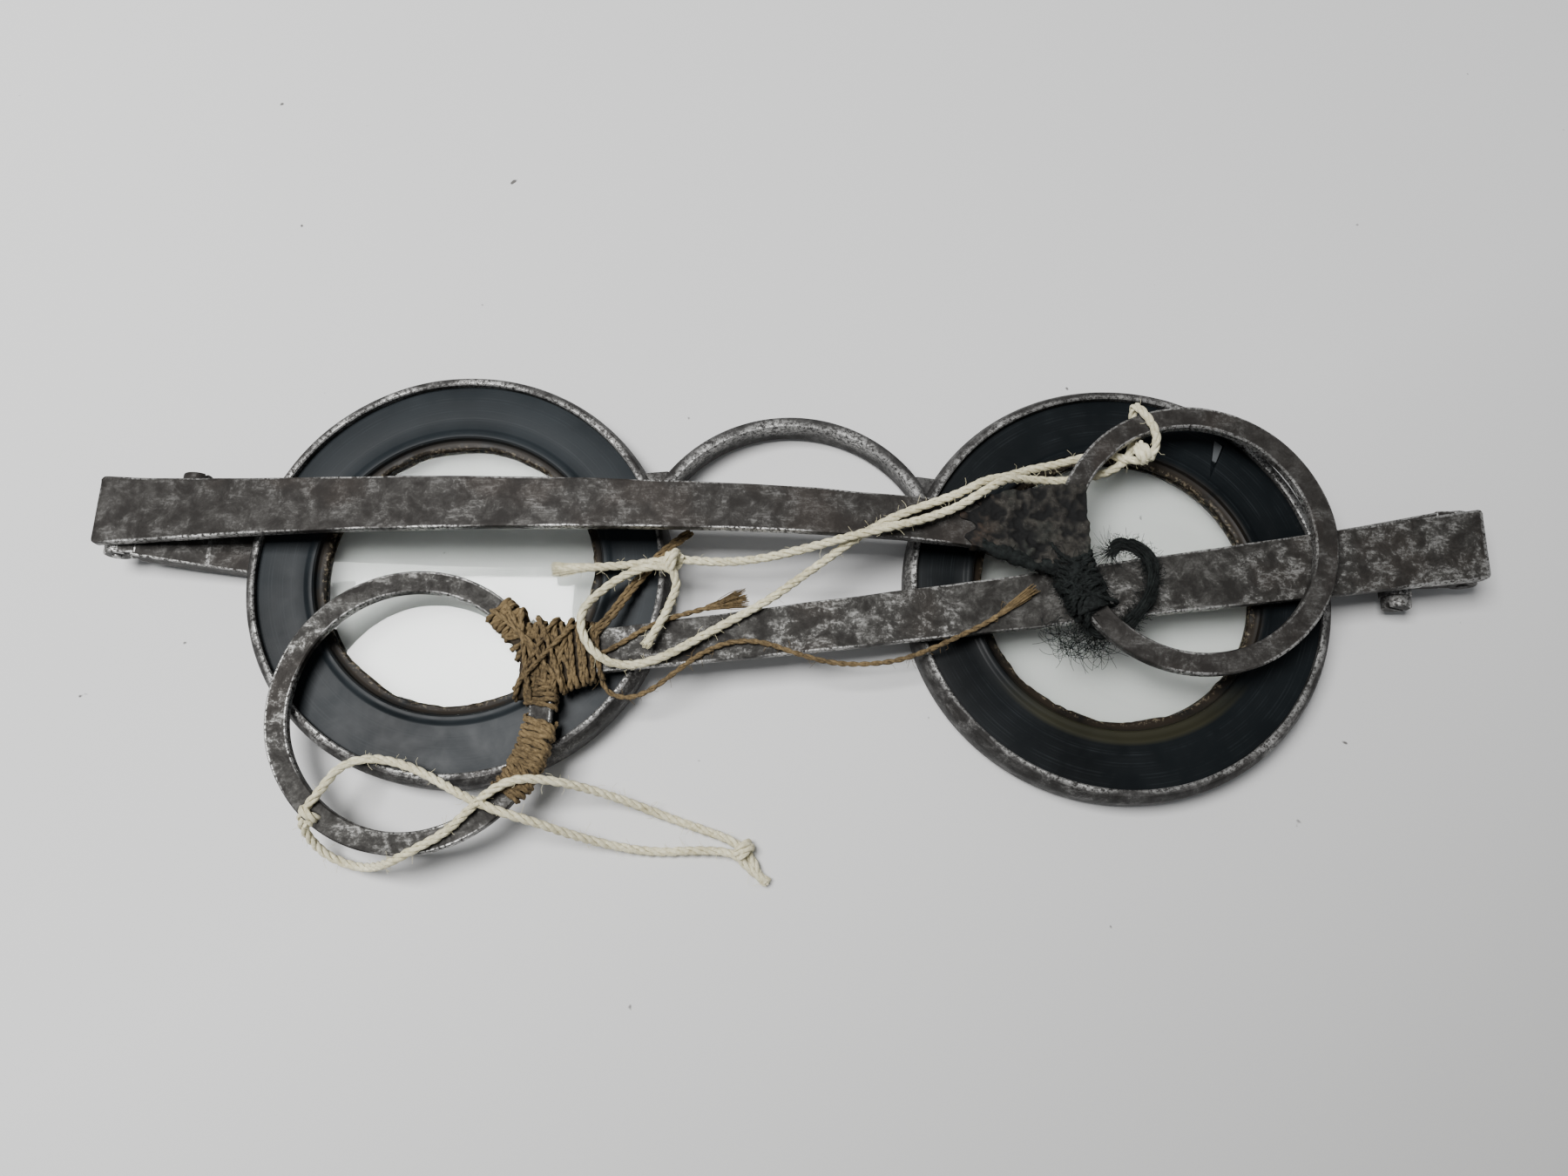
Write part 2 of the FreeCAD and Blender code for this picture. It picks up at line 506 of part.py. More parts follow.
STRING_B = [(-1.3, -27.1, 0.6), (-2.9, -26.0, 0.7), (-4.2, -24.6, 1.3), (-7.4, -24.5, 0.9),
            (-11.4, -24.8, 0.6), (-15.2, -24.3, 1.2), (-18.6, -23.5, 3.4),
            (-21.6, -22.6, 5.6), (-24.6, -21.8, 6.8), (-27.6, -20.6, 6.3),
            (-30.8, -18.9, 5.3), (-33.6, -17.8, 4.9), (-36.4, -17.4, 4.9),
            (-38.6, -18.2, 5.3), (-39.4, -20.0, 6.3), (-40.3, -21.4, 6.4),
            (-41.5, -22.6, 5.6), (-41.4, -24.1, 3.8), (-40.4, -25.6, 2.0),
            (-38.4, -26.5, 1.4), (-36.0, -26.8, 2.6), (-33.4, -26.4, 5.5),
            (-31.0, -25.2, 6.45), (-28.6, -23.8, 6.35), (-26.8, -21.9, 6.5),
            (-25.0, -20.2, 7.0), (-22.8, -19.1, 7.0), (-20.0, -19.1, 5.8),
            (-17.0, -19.6, 3.8), (-14.0, -20.4, 1.9), (-10.8, -21.5, 0.8),
            (-7.4, -22.6, 0.7), (-4.6, -23.5, 1.0), (-2.6, -24.8, 0.7),
            (-2.0, -26.6, 0.6)]
save("white_string_upper", tube(STRING_A, STRING_R))
save("white_string_lower", tube(STRING_B, STRING_R))

print("cord radii: linen", LINEN_R, "silk", SILK_TAIL_R, "string", STRING_R)
print("hinge axes (m): x +-%.4f  y any, middle %.5f  z %.5f" % (
    HINGE_X / 1000, ((BARREL_LOW_Y + BARREL_HIGH_Y) / 2 + SHIFT.y) / 1000, HINGE_Z / 1000))
print("shift y", SHIFT.y)
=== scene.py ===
# %% [markdown]
# # Folded steel spectacles
# An old pair of spectacles lies folded, front face down.  Two round steel rims
# hold dark horn margins and small lenses, an arch joins them, and two flat
# sides with big ring ends fold across the back.  Threads are wound on the
# ring ends and white strings are tied through them.  Everything here is in
# metres once it reaches Blender; the sizes below are written in millimetres.

import math
import random

import bmesh
import bpy
from mathutils import Matrix, Vector, noise


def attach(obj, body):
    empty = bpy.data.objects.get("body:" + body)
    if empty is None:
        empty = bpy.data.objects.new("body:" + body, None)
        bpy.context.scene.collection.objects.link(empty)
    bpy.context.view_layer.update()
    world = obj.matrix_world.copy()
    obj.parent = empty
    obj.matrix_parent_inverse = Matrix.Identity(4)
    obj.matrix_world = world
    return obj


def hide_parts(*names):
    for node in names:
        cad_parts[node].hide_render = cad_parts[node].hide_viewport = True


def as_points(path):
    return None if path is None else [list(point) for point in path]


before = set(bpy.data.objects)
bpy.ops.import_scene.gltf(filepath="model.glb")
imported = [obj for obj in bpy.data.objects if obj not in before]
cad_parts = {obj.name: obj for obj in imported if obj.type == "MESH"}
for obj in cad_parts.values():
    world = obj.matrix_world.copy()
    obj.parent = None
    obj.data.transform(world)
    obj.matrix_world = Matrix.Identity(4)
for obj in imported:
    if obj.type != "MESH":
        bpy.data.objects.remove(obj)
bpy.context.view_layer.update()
MM = 0.001
SHIFT_Y = 3.025            # the drawing's y zero sits this far up in the frame

# %% [markdown]
# ## The drawing's main sizes
# These are the sizes the pieces were designed with.  Each new piece is built
# from them, so that it lands on the solid it stands for.

# %% Main sizes in millimetres
RIM_X = 30.5
RIM_OUT, RIM_IN, RIM_DEPTH = 19.75, 18.6, 4.2
MARGIN_FRONT, MARGIN_BACK = 1.0, 3.5
OPEN_R, REBATE_R = 12.4, 13.2
HINGE_X, HINGE_Z, BARREL_R = 62.4, 3.35, 1.25
STRIP_Z, SIDE_T, END_X = 4.9, 1.0, 63.7
RING_OUT, RING_IN = 12.6, 10.6
UPPER_RING = (36.7, 3.65, 6.8)
LOWER_RING = (-33.05, -13.2, 4.9)
SIDES = (("left", -1), ("right", 1))
print("rims", 2 * RIM_OUT, "mm across, rings", 2 * RING_OUT, "mm")


# %% [markdown]
# ## Camera
# The camera looks down at the back of the spectacles, leaning a little from
# the near edge of the table.  A matrix made of three plain turns gives the
# same view as aiming by hand, and can be read back as angles.

# %% Camera
def at(x, y, z):
    """A point of the drawing, in the frame, in metres."""
    return Vector((x, y + SHIFT_Y, z)) * MM


CAMERA_AT = (0.30, -29.34, 108.44)
PITCH, YAW, ROLL = 0.2657, -0.0218, 0.0016
camera_data = bpy.data.cameras.new("camera")
camera_data.sensor_width = 36.0
camera_data.lens = 27.04
camera_data.clip_start = 0.005
camera = bpy.data.objects.new("camera", camera_data)
bpy.context.scene.collection.objects.link(camera)
turn = (Matrix.Rotation(-YAW, 4, "Z") @ Matrix.Rotation(PITCH, 4, "X")
        @ Matrix.Rotation(ROLL, 4, "Z"))
camera.matrix_world = Matrix.Translation(at(*CAMERA_AT)) @ turn
bpy.context.scene.camera = camera
print("camera", [round(v, 4) for v in camera.matrix_world.translation])

# %% [markdown]
# ## Threads and strings first
# A string is a fixed length of twisted yarn.  Its line is one smooth curve
# through a few given points, and the yarns are thin tubes that turn
# round that line.  Reading the line back from Blender's own NURBS curve keeps
# the yarns, the printed length and the curve in step.


# %% Reading a smooth line from a route
def smooth_line(points):
    """Blender's own NURBS curve, which the points pull towards them, as a line."""
    curve = bpy.data.curves.new("route", "CURVE")
    curve.dimensions = "3D"
    spline = curve.splines.new("NURBS")
    spline.points.add(len(points) - 1)
    for knot, place in zip(spline.points, points):
        knot.co = (*place, 1.0)
    spline.order_u = 3
    spline.use_endpoint_u = True
    spline.resolution_u = 10
    holder = bpy.data.objects.new("route", curve)
    mesh = bpy.data.meshes.new_from_object(holder)
    line = [v.co.copy() for v in mesh.vertices]
    bpy.data.meshes.remove(mesh)
    bpy.data.objects.remove(holder)
    bpy.data.curves.remove(curve)
    return line


def route_line(points):
    """The smooth line through a route given in the drawing's millimetres."""
    return smooth_line([at(*p) for p in points])


def length_of(line):
    """How long a line is, in metres."""
    return sum((b - a).length for a, b in zip(line, line[1:]))


def spaced(line, step):
    """The same line with points an even step apart."""
    total = length_of(line)
    count = max(2, int(round(total / step)))
    out, walked, i = [line[0].copy()], 0.0, 0
    for k in range(1, count):
        want = total * k / count
        while i < len(line) - 2 and walked + (line[i + 1] - line[i]).length < want:
            walked += (line[i + 1] - line[i]).length
            i += 1
        run = (line[i + 1] - line[i]).length
        out.append(line[i].lerp(line[i + 1], (want - walked) / run if run else 0.0))
    out.append(line[-1].copy())
    return out


# %% Yarns that turn round a line
def carried_frames(line):
    """A sideways direction at each point, carried along without twist."""
    side = None
    for i, p in enumerate(line):
        ahead = (line[min(i + 1, len(line) - 1)] - line[max(i - 1, 0)]).normalized()
        if side is None:
            side = ahead.orthogonal()
        side = (side - ahead * side.dot(ahead)).normalized()
        yield p, side, ahead.cross(side)


PLY_REACH = {2: 0.42, 3: 0.52}      # ply centre from the yarn's middle, in radii
PLY_SIZE = {2: 0.63, 3: 0.53}       # ply radius, in yarn radii


def yarns(line, radius, plies, pitch, swell=0.0, seed=0):
    """Centre lines of the plies that are twisted together along a line."""
    rnd = random.Random(seed)
    off = radius * PLY_REACH[plies]
    found = [[] for _ in range(plies)]
    step = (line[1] - line[0]).length
    angle = rnd.uniform(0, 6.28)
    for p, a, b in carried_frames(line):
        angle += 2 * math.pi * step / pitch * (1 + 0.25 * noise.noise(p * 700))
        for k in range(plies):
            turn_k = angle + 2 * math.pi * k / plies
            reach = off * (1 + swell * noise.noise(p * 900 + Vector((k, 0, 0))))
            found[k].append(p + (a * math.cos(turn_k) + b * math.sin(turn_k)) * reach)
    return found


def tubes(lines, radius, resolution=1, taper=0.0):
    """A mesh of round tubes along the lines."""
    curve = bpy.data.curves.new("tubes", "CURVE")
    curve.dimensions = "3D"
    curve.bevel_depth = radius
    curve.bevel_resolution = resolution
    curve.use_fill_caps = True
    for line in lines:
        spline = curve.splines.new("POLY")
        spline.points.add(len(line) - 1)
        for i, (knot, place) in enumerate(zip(spline.points, line)):
            knot.co = (*place, 1.0)
            knot.radius = 1.0 - taper * i / max(1, len(line) - 1)
    holder = bpy.data.objects.new("tubes", curve)
    mesh = bpy.data.meshes.new_from_object(holder)
    bpy.data.objects.remove(holder)
    bpy.data.curves.remove(curve)
    return mesh


# %% [markdown]
# ## Turning meshes into pieces
# Every piece ends up as one mesh whose object sits at the origin.  It rides on
# a body of the model, stands for its CAD node, and carries its finish as its
# one material.  Flat faces stay flat because edges over a set angle are sharp.


# %% Meshes, bmeshes and scene objects
def as_mesh(bm, name="scratch"):
    """Writes a bmesh to a new mesh and frees it."""
    mesh = bpy.data.meshes.new(name)
    bm.to_mesh(mesh)
    bm.free()
    return mesh


def as_bmesh(*meshes):
    """Reads one or more meshes into one bmesh and removes them."""
    bm = bmesh.new()
    for mesh in meshes:
        bm.from_mesh(mesh)
        bpy.data.meshes.remove(mesh)
    return bm


def shown(name, mesh):
    """A new object of the scene."""
    obj = bpy.data.objects.new(name, mesh)
    bpy.context.scene.collection.objects.link(obj)
    return obj


# %% Making a piece
def piece(name, source, material, body, nodes=(), sharp=32.0):
    """Turns a bmesh, or a list of meshes, into one finished piece."""
    if not isinstance(source, bmesh.types.BMesh):
        source = as_bmesh(*source)
    mesh = as_mesh(source, name)
    mesh.shade_smooth()
    mesh.set_sharp_from_angle(angle=math.radians(sharp))
    mesh.materials.clear()
    mesh.materials.append(material)
    mesh.polygons.foreach_set("material_index", [0] * len(mesh.polygons))
    obj = shown(name, mesh)
    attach(obj, body)
    if nodes:
        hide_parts(*nodes)
    print("%-28s %7d faces" % (name, len(mesh.polygons)))
    return obj


# %% [markdown]
# ## Materials
# Old steel is not one colour: a brown-grey skin with cloudy patches, fine
# bright specks where the skin has rubbed off, and bare bright edges.  The
# clouds and specks are noise on Object coordinates, and the bare edges follow
# a "wear" value painted on the mesh's points.


# %% Small helpers for node trees
def put(tree, kind, links=(), **values):
    """A new node, with its settings, input values and links."""
    made = tree.nodes.new("ShaderNode" + kind)
    for key, value in values.items():
        if hasattr(made, key):
            setattr(made, key, value)
        else:
            made.inputs[key.replace("_", " ")].default_value = value
    for socket, source in dict(links).items():
        tree.links.new(source, made.inputs[socket])
    return made


def fresh_material(name):
    """A new material, its shader, and the object's own coordinates."""
    material = bpy.data.materials.new(name)
    material.use_nodes = True
    tree = material.node_tree
    return material, tree.nodes["Principled BSDF"], \
        put(tree, "TexCoord").outputs["Object"]


def dress(node, **values):
    """Set a node's inputs by name: a socket is linked, a plain value is set."""
    for key, value in values.items():
        socket = node.inputs[key.replace("_", " ")]
        if isinstance(value, bpy.types.NodeSocket):
            node.id_data.links.new(value, socket)
        else:
            socket.default_value = value


def noise_of(vector, scale, detail=5.0, rough=0.6, distort=0.0):
    """A cloudy value from 0 to 1 over the coordinates."""
    return put(vector.id_data, "TexNoise", {"Vector": vector}, Scale=scale,
               Detail=detail, Roughness=rough, Distortion=distort).outputs["Fac"]


def ramp(value, low, high, to_low=0.0, to_high=1.0):
    """Stretches low to high onto a new range, and stops at its ends."""
    return put(value.id_data, "MapRange", {"Value": value}, From_Min=low,
               From_Max=high, To_Min=to_low, To_Max=to_high,
               clamp=True).outputs["Result"]


def mixed(factor, first, second):
    """Mix two colours; each is a socket or a plain colour."""
    tree = factor.id_data
    made = put(tree, "Mix", {0: factor}, data_type="RGBA")
    for socket, value in ((made.inputs[6], first), (made.inputs[7], second)):
        if isinstance(value, tuple):
            socket.default_value = (*value, 1.0)
        else:
            tree.links.new(value, socket)
    return made.outputs[2]


def maths(kind, a, b):
    """One sum; a is a socket, b a socket or a number."""
    made = put(a.id_data, "Math", {0: a}, operation=kind)
    if isinstance(b, float):
        made.inputs[1].default_value = b
    else:
        a.id_data.links.new(b, made.inputs[1])
    return made.outputs[0]


def times(a, b):
    return maths("MULTIPLY", a, b)


def mapped(vector, setting, value):
    """The coordinates moved by a Location or stretched by a Scale."""
    made = put(vector.id_data, "Mapping", {"Vector": vector})
    made.inputs[setting].default_value = value
    return made.outputs["Vector"]


def bumped(shader, height, distance, strength):
    """Fine relief in the shading only."""
    made = put(shader.id_data, "Bump", {"Height": height}, Distance=distance,
               Strength=strength)
    dress(shader, Normal=made.outputs["Normal"])


# %% Steel
STAIN, BARE = (0.031, 0.0245, 0.0205), (0.46, 0.455, 0.44)


def steel(name, dark, mid, light, specks, rust, seed, grain=(1.0, 1.0, 1.0)):
    """Old steel: specks and rust say how much of each, grain stretches the specks."""
    material, shader, where = fresh_material(name)
    moved = mapped(where, "Location", (seed * 0.013, seed * 0.007, 0.0))
    along = mapped(where, "Scale", grain)
    cloud = noise_of(moved, 520.0, 9.0, 0.72, 0.3)
    patch = noise_of(moved, 120.0, 3.0, 0.5)
    fine = noise_of(moved, 3200.0, 6.0, 0.76)
    marks = noise_of(along, 3600.0, 6.0, 0.72)
    colour = mixed(ramp(cloud, 0.40, 0.60), dark, mid)
    rubbing = times(ramp(cloud, 0.49, 0.58), ramp(patch, 0.40, 0.60, 0.12, 1.0))
    speck = times(ramp(fine, 0.49, 0.62), rubbing)
    streak = times(ramp(marks, 0.50, 0.62), rubbing)
    bright = times(maths("MAXIMUM", speck, streak), specks)
    colour = mixed(bright, colour, light)
    stain = times(ramp(patch, 0.54, 0.64), rust)
    stain = times(stain, ramp(cloud, 0.35, 0.6, 0.4, 1.0))
    colour = mixed(stain, colour, STAIN)
    rubbed = put(where.id_data, "Attribute", attribute_name="wear").outputs["Fac"]
    bare = times(ramp(rubbed, 0.35, 0.95), ramp(fine, 0.44, 0.56))
    metal = maths("MAXIMUM", bare, times(bright, 0.75))
    dress(shader, Base_Color=mixed(bare, colour, BARE),
          Roughness=maths("SUBTRACT", ramp(cloud, 0.3, 0.7, 0.62, 0.46),
                          times(bare, 0.16)),
          Metallic=ramp(metal, 0.0, 1.0, 0.2, 1.0), Specular_IOR_Level=0.1)
    height = maths("ADD", fine, times(cloud, 1.6))
    bumped(shader, maths("ADD", height, times(marks, 0.6)), 0.00003, 0.8)
    return material


side_steel = steel("side_steel", (0.020, 0.018, 0.0165), (0.041, 0.0385, 0.0355),
                   (0.19, 0.187, 0.18), 0.62, 0.6, 3, (0.16, 1.0, 1.0))
brushed_steel = steel("brushed_steel", (0.019, 0.0175, 0.016), (0.052, 0.050, 0.046),
                      (0.36, 0.355, 0.34), 0.95, 0.5, 5, (0.25, 1.0, 1.0))
rim_steel = steel("rim_steel", (0.021, 0.020, 0.019), (0.047, 0.0455, 0.044),
                  (0.28, 0.275, 0.265), 0.6, 0.3, 7)
print("steel finishes made")


# %% [markdown]
# Buffalo horn is nearly black with a blue-grey sheen.  It was turned on a
# lathe, so fine rings run round it: a noise read by the distance from the
# margin's middle gives rings, and a second one breaks them up.  The rings are
# painted a lighter blue-grey, partly turning marks and partly painted sheen.
# Dirt and crumbs sit near the lens, and one margin has a painted amber glow
# there, for light that shows through the thin horn.

# %% Horn
RING_SHEEN_TONE, DIRT = (0.040, 0.047, 0.052), (0.017, 0.013, 0.009)
CRUMBS, AMBER_GLOW = (0.115, 0.095, 0.065), (0.024, 0.023, 0.014)


def horn(name, centre_x, deep, pale, amber=False):
    """Turned horn round a margin's middle; amber paints a glow of light through the horn
    near the lens.
    """
    material, shader, where = fresh_material(name)
    local = mapped(where, "Location", (-centre_x * MM, -SHIFT_Y * MM, 0))
    flat = mapped(local, "Scale", (1, 1, 0))
    tree = where.id_data
    radius = put(tree, "VectorMath", {0: flat}, operation="LENGTH").outputs["Value"]
    rings = put(tree, "TexNoise", {"W": radius}, noise_dimensions="1D", Scale=5200.0,
                Detail=5.0, Roughness=0.75).outputs["Fac"]
    broken = noise_of(local, 300.0, 4.0, 0.6, 0.3)
    cloud = noise_of(local, 70.0, 3.0, 0.5)
    colour = mixed(ramp(cloud, 0.35, 0.65), deep, pale)
    # painted sheen: the lathe rings are mixed towards a lighter blue-grey, partly turning
    # marks and partly painted sheen
    scratch = times(ramp(rings, 0.52, 0.7), ramp(broken, 0.42, 0.6))
    colour = mixed(times(scratch, 0.3), colour, RING_SHEEN_TONE)
    dirt = times(ramp(radius, 0.0136, 0.0130), ramp(broken, 0.30, 0.52))
    colour = mixed(dirt, colour, DIRT)
    crumbs = times(ramp(radius, 0.0129, 0.0126),
                   ramp(noise_of(local, 2600.0, 4.0, 0.7), 0.53, 0.6))
    colour = mixed(crumbs, colour, CRUMBS)
    # painted glow: an amber band near the lens stands for light showing through the thin
    # horn
    if amber:
        low = put(tree, "SeparateXYZ", {0: local}).outputs["Y"]
        glow = times(ramp(low, -0.0085, -0.0125), ramp(radius, 0.0147, 0.0143))
        glow = times(glow, ramp(radius, 0.0131, 0.0134))
        glow = times(glow, ramp(cloud, 0.3, 0.5, 0.6, 1.0))
        colour = mixed(glow, colour, AMBER_GLOW)
    dress(shader, Base_Color=colour, Roughness=ramp(broken, 0.3, 0.7, 0.34, 0.46),
          Specular_IOR_Level=0.1)
    bumped(shader, maths("ADD", times(rings, 0.7), broken), 0.000012, 0.5)
    return material


# painted sheen: the left margin's tones are lighter than the right's, partly its own tone
# and partly painted sheen from the lamp's side
horn_left_sheened = horn("horn_left_sheened", -RIM_X, (0.006, 0.008, 0.0095), (0.017, 0.021, 0.024))
horn_right = horn("horn_right", RIM_X, (0.002, 0.0028, 0.0034), (0.006, 0.0078, 0.009),
                  True)
horn_splinter = horn("horn_splinter", RIM_X, (0.045, 0.049, 0.052),
                     (0.085, 0.09, 0.094))
print("horn finishes made")

# %% [markdown]
# The lenses are clear old glass.  Lamps shine through glass only if the
# material lets shadow rays pass, so a Transparent shader takes those rays.
# A faint noise in the roughness stands for finger marks.

# %% Glass
glass, glass_shader, glass_where = fresh_material("old_glass")
glass_tree = glass.node_tree
dress(glass_shader, Base_Color=(0.925, 0.945, 0.925, 1.0), Transmission_Weight=1.0,
      IOR=1.5,
      Roughness=ramp(noise_of(glass_where, 160.0, 4.0, 0.6, 0.8), 0.4, 0.75, 0.015, 0.10))
shadow_ray = put(glass_tree, "LightPath").outputs["Is Shadow Ray"]
clear = put(glass_tree, "BsdfTransparent", Color=(0.30, 0.31, 0.30, 1.0))
both = put(glass_tree, "MixShader", {0: shadow_ray, 1: glass_shader.outputs[0],
                                     2: clear.outputs[0]})
dress(glass_tree.nodes["Material Output"], Surface=both.outputs[0])
print("glass made")


# %% [markdown]
# Yarn looks soft because its fibres scatter light at every angle.  A little
# sheen does that, and fine noise gives the fibres' light and dark.

# %% Yarn
def yarn(name, deep, light, sheen):
    """A matt fibre finish between two tones."""
    material, shader, where = fresh_material(name)
    fibre = noise_of(where, 2600.0, 5.0, 0.7, 0.5)
    patch = noise_of(where, 240.0, 3.0, 0.5)
    spread = maths("ADD", times(fibre, 0.65), times(patch, 0.35))
    dress(shader, Base_Color=mixed(ramp(spread, 0.36, 0.62), deep, light),
          Roughness=ramp(fibre, 0.3, 0.7, 0.95, 0.75), Sheen_Weight=sheen,
          Sheen_Roughness=0.6, Specular_IOR_Level=0.25)
    bumped(shader, fibre, 0.00003, 0.7)
    return material


cotton = yarn("cream_cotton", (0.42, 0.375, 0.225), (0.78, 0.735, 0.53), 0.12)
linen = yarn("brown_linen", (0.036, 0.024, 0.011), (0.20, 0.140, 0.066), 0.03)
# painted shade: the cores under the windings are far darker than the linen, for the
# deeper turns and the shade in the gaps between them
linen_deep_shade = yarn("linen_deep_shade", (0.012, 0.009, 0.006), (0.045, 0.032, 0.018), 0.0)
silk = yarn("black_silk", (0.0015, 0.002, 0.002), (0.009, 0.012, 0.011), 0.0)
print("yarn finishes made")

# %% [markdown]
# ## The tied strings
# Two cream cotton strings, each tied through a ring end.  The route's points
# are listed one by one: out from one cut end, round the knot, along one leg, round
# the ring's band, back along the other leg and to the other cut end.

# %% Routes of the loose strings and threads, in millimetres
UPPER_STRING = [
    (-21.2, 0.2, 4.7), (-17.6, 0.4, 4.9), (-14.0, 0.6, 5.3), (-10.4, 1.2, 5.5),
    (-6.6, 0.8, 5.9), (-3.0, 0.9, 6.6), (0.6, 1.4, 8.0), (4.2, 2.0, 9.6),
    (8.0, 2.9, 10.5), (11.6, 3.9, 9.9), (15.0, 5.4, 9.4), (17.6, 7.2, 9.3),
    (19.6, 8.7, 8.2), (22.0, 9.3, 6.4), (25.0, 9.4, 5.7), (28.0, 9.9, 5.7),
    (30.4, 10.8, 5.7), (31.8, 12.4, 5.9), (32.0, 14.8, 6.1), (31.7, 16.8, 7.2),
    (32.5, 15.2, 8.5), (33.6, 13.1, 8.3), (33.2, 11.3, 7.2), (31.4, 11.4, 6.1),
    (29.4, 12.4, 5.8),
    (27.4, 11.9, 5.6), (24.8, 11.1, 5.7), (22.2, 10.4, 6.1), (20.0, 9.3, 7.1),
    (17.6, 8.3, 8.7), (15.2, 6.7, 9.4), (12.2, 5.5, 9.55), (9.6, 4.5, 9.4),
    (7.4, 3.2, 9.6), (5.4, 2.0, 9.1), (3.4, 0.8, 7.6), (0.8, -1.0, 6.9),
    (-1.8, -2.9, 6.5), (-5.6, -5.1, 6.45), (-8.9, -7.2, 6.9), (-11.4, -8.5, 6.6),
    (-14.0, -9.1, 6.6), (-16.2, -8.7, 7.2), (-18.0, -6.7, 7.0), (-18.4, -4.4, 6.95),
    (-17.2, -2.4, 5.7), (-15.4, -0.8, 5.6), (-12.8, 0.2, 6.3), (-10.6, 0.2, 6.6),
    (-9.9, -1.2, 5.8), (-10.4, -3.2, 6.4), (-11.2, -5.4, 7.1), (-12.3, -7.3, 7.4)]
LOWER_STRING = [
    (-1.3, -27.1, 0.6), (-2.9, -26.0, 0.7), (-4.2, -24.6, 1.3), (-7.4, -24.5, 0.9),
    (-11.4, -24.8, 0.6), (-15.2, -24.3, 1.2), (-18.6, -23.5, 3.4),
    (-21.6, -22.6, 5.6), (-24.6, -21.8, 6.8), (-27.6, -20.6, 6.3),
    (-30.8, -18.9, 5.3), (-33.6, -17.8, 4.9), (-36.4, -17.4, 4.9),
    (-38.6, -18.2, 5.3), (-39.4, -20.0, 6.3), (-40.3, -21.4, 6.4),
    (-41.5, -22.6, 5.6), (-41.4, -24.1, 3.8), (-40.4, -25.6, 2.0),
    (-38.4, -26.5, 1.4), (-36.0, -26.8, 2.6), (-33.4, -26.4, 5.5),
    (-31.0, -25.2, 6.45), (-28.6, -23.8, 6.35), (-26.8, -21.9, 6.5),
    (-25.0, -20.2, 7.0), (-22.8, -19.1, 7.0), (-20.0, -19.1, 5.8),
    (-17.0, -19.6, 3.8), (-14.0, -20.4, 1.9), (-10.8, -21.5, 0.8),
    (-7.4, -22.6, 0.7), (-4.6, -23.5, 1.0), (-2.6, -24.8, 0.7),
    (-2.0, -26.6, 0.6)]
LINEN_TAIL = [
    (-16.4, -9.7, 5.5), (-16.2, -11.0, 4.8), (-14.2, -11.7, 4.6),
    (-12.0, -11.0, 5.0), (-9.6, -9.3, 6.1), (-7.4, -7.6, 6.3),
    (-4.8, -6.5, 6.25), (-2.0, -6.5, 6.25), (0.8, -7.5, 6.25),
    (4.2, -8.2, 5.4), (7.4, -8.1, 4.9), (10.4, -7.6, 4.8),
    (13.2, -6.6, 5.5), (15.8, -5.4, 6.3), (18.4, -4.1, 6.3),
    (20.4, -2.5, 6.3)]
STRING_R, LINEN_R = 0.4, 0.25
COTTON_LAY, LINEN_LAY = 3.0, 2.1       # one turn of the plies, along the yarn


# %% Fibres that stand out from a yarn
def fuzz(line, radius, count, reach, seed, thick=0.014):
    """Short loose fibres along a line, as one mesh."""
    rnd = random.Random(seed)
    hairs = []
    for _ in range(count):
        i = rnd.randrange(1, len(line) - 1)
        ahead = (line[i + 1] - line[i - 1]).normalized()
        out = ahead.orthogonal().normalized()
        out.rotate(Matrix.Rotation(rnd.uniform(0, 6.28), 3, ahead))
        if line[i].z < 0.0012 and out.z < 0:
            out.z = -out.z
        long = reach * rnd.uniform(0.35, 1.0) * MM
        start = line[i] + out * radius * MM * 0.8
        bend = Vector((rnd.uniform(-1, 1), rnd.uniform(-1, 1), rnd.uniform(-0.4, 0.4)))
        way = (out + ahead * rnd.uniform(-1.2, 1.2)).normalized()
        hairs.append([start, start + way * long * 0.5,
                      start + way * long * 0.85 + bend * long * 0.3])
    return tubes(hairs, thick * MM, 0)


def fray(end, way, count, long, spread, seed, thick=0.03):
    """A fan of loose fibres where a yarn was cut."""
    rnd = random.Random(seed)
    hairs = []
    for _ in range(count):
        lean = Vector((rnd.gauss(0, spread), rnd.gauss(0, spread),
                       rnd.gauss(0, spread * 0.5)))
        go = (way + lean).normalized()
        run = long * rnd.uniform(0.55, 1.0) * MM
        start = end - way * 0.35 * MM + lean * 0.15 * MM
        hairs.append([start, start + go * run * 0.5,
                      start + (go + lean * 0.5).normalized() * run])
    return tubes(hairs, thick * MM, 0, 0.6)


def brush(line, back, beyond, narrow, wide, count, seed, thick=0.03):
    """A yarn's cut end that has come apart into a brush of fibres."""
    rnd = random.Random(seed)
    start = line[-1]
    for i in range(len(line) - 1, 0, -1):
        if (line[i] - line[-1]).length > back * MM:
            start = line[i]
            break
    way = (line[-1] - start).normalized()
    side = way.orthogonal().normalized()
    other = way.cross(side)
    hairs = []
    for k in range(count):
        angle, reach = rnd.uniform(0, 6.28), math.sqrt(rnd.uniform(0, 1))
        out = side * math.cos(angle) + other * math.sin(angle)
        out.z *= 0.6
        run = ((line[-1] - start).length / MM + beyond) * rnd.uniform(0.72, 1.0)
        wave = Vector((rnd.gauss(0, 0.05), rnd.gauss(0, 0.05), 0))
        hair = []
        for j in range(5):
            t = j / 4
            spread = narrow + (wide - narrow) * t ** 1.3
            hair.append(start + way * run * t * MM + out * reach * spread * MM
                        + wave * math.sin(t * 5.0 + k) * MM)
        hairs.append(hair)
    return tubes(hairs, thick * MM, 0, 0.4)


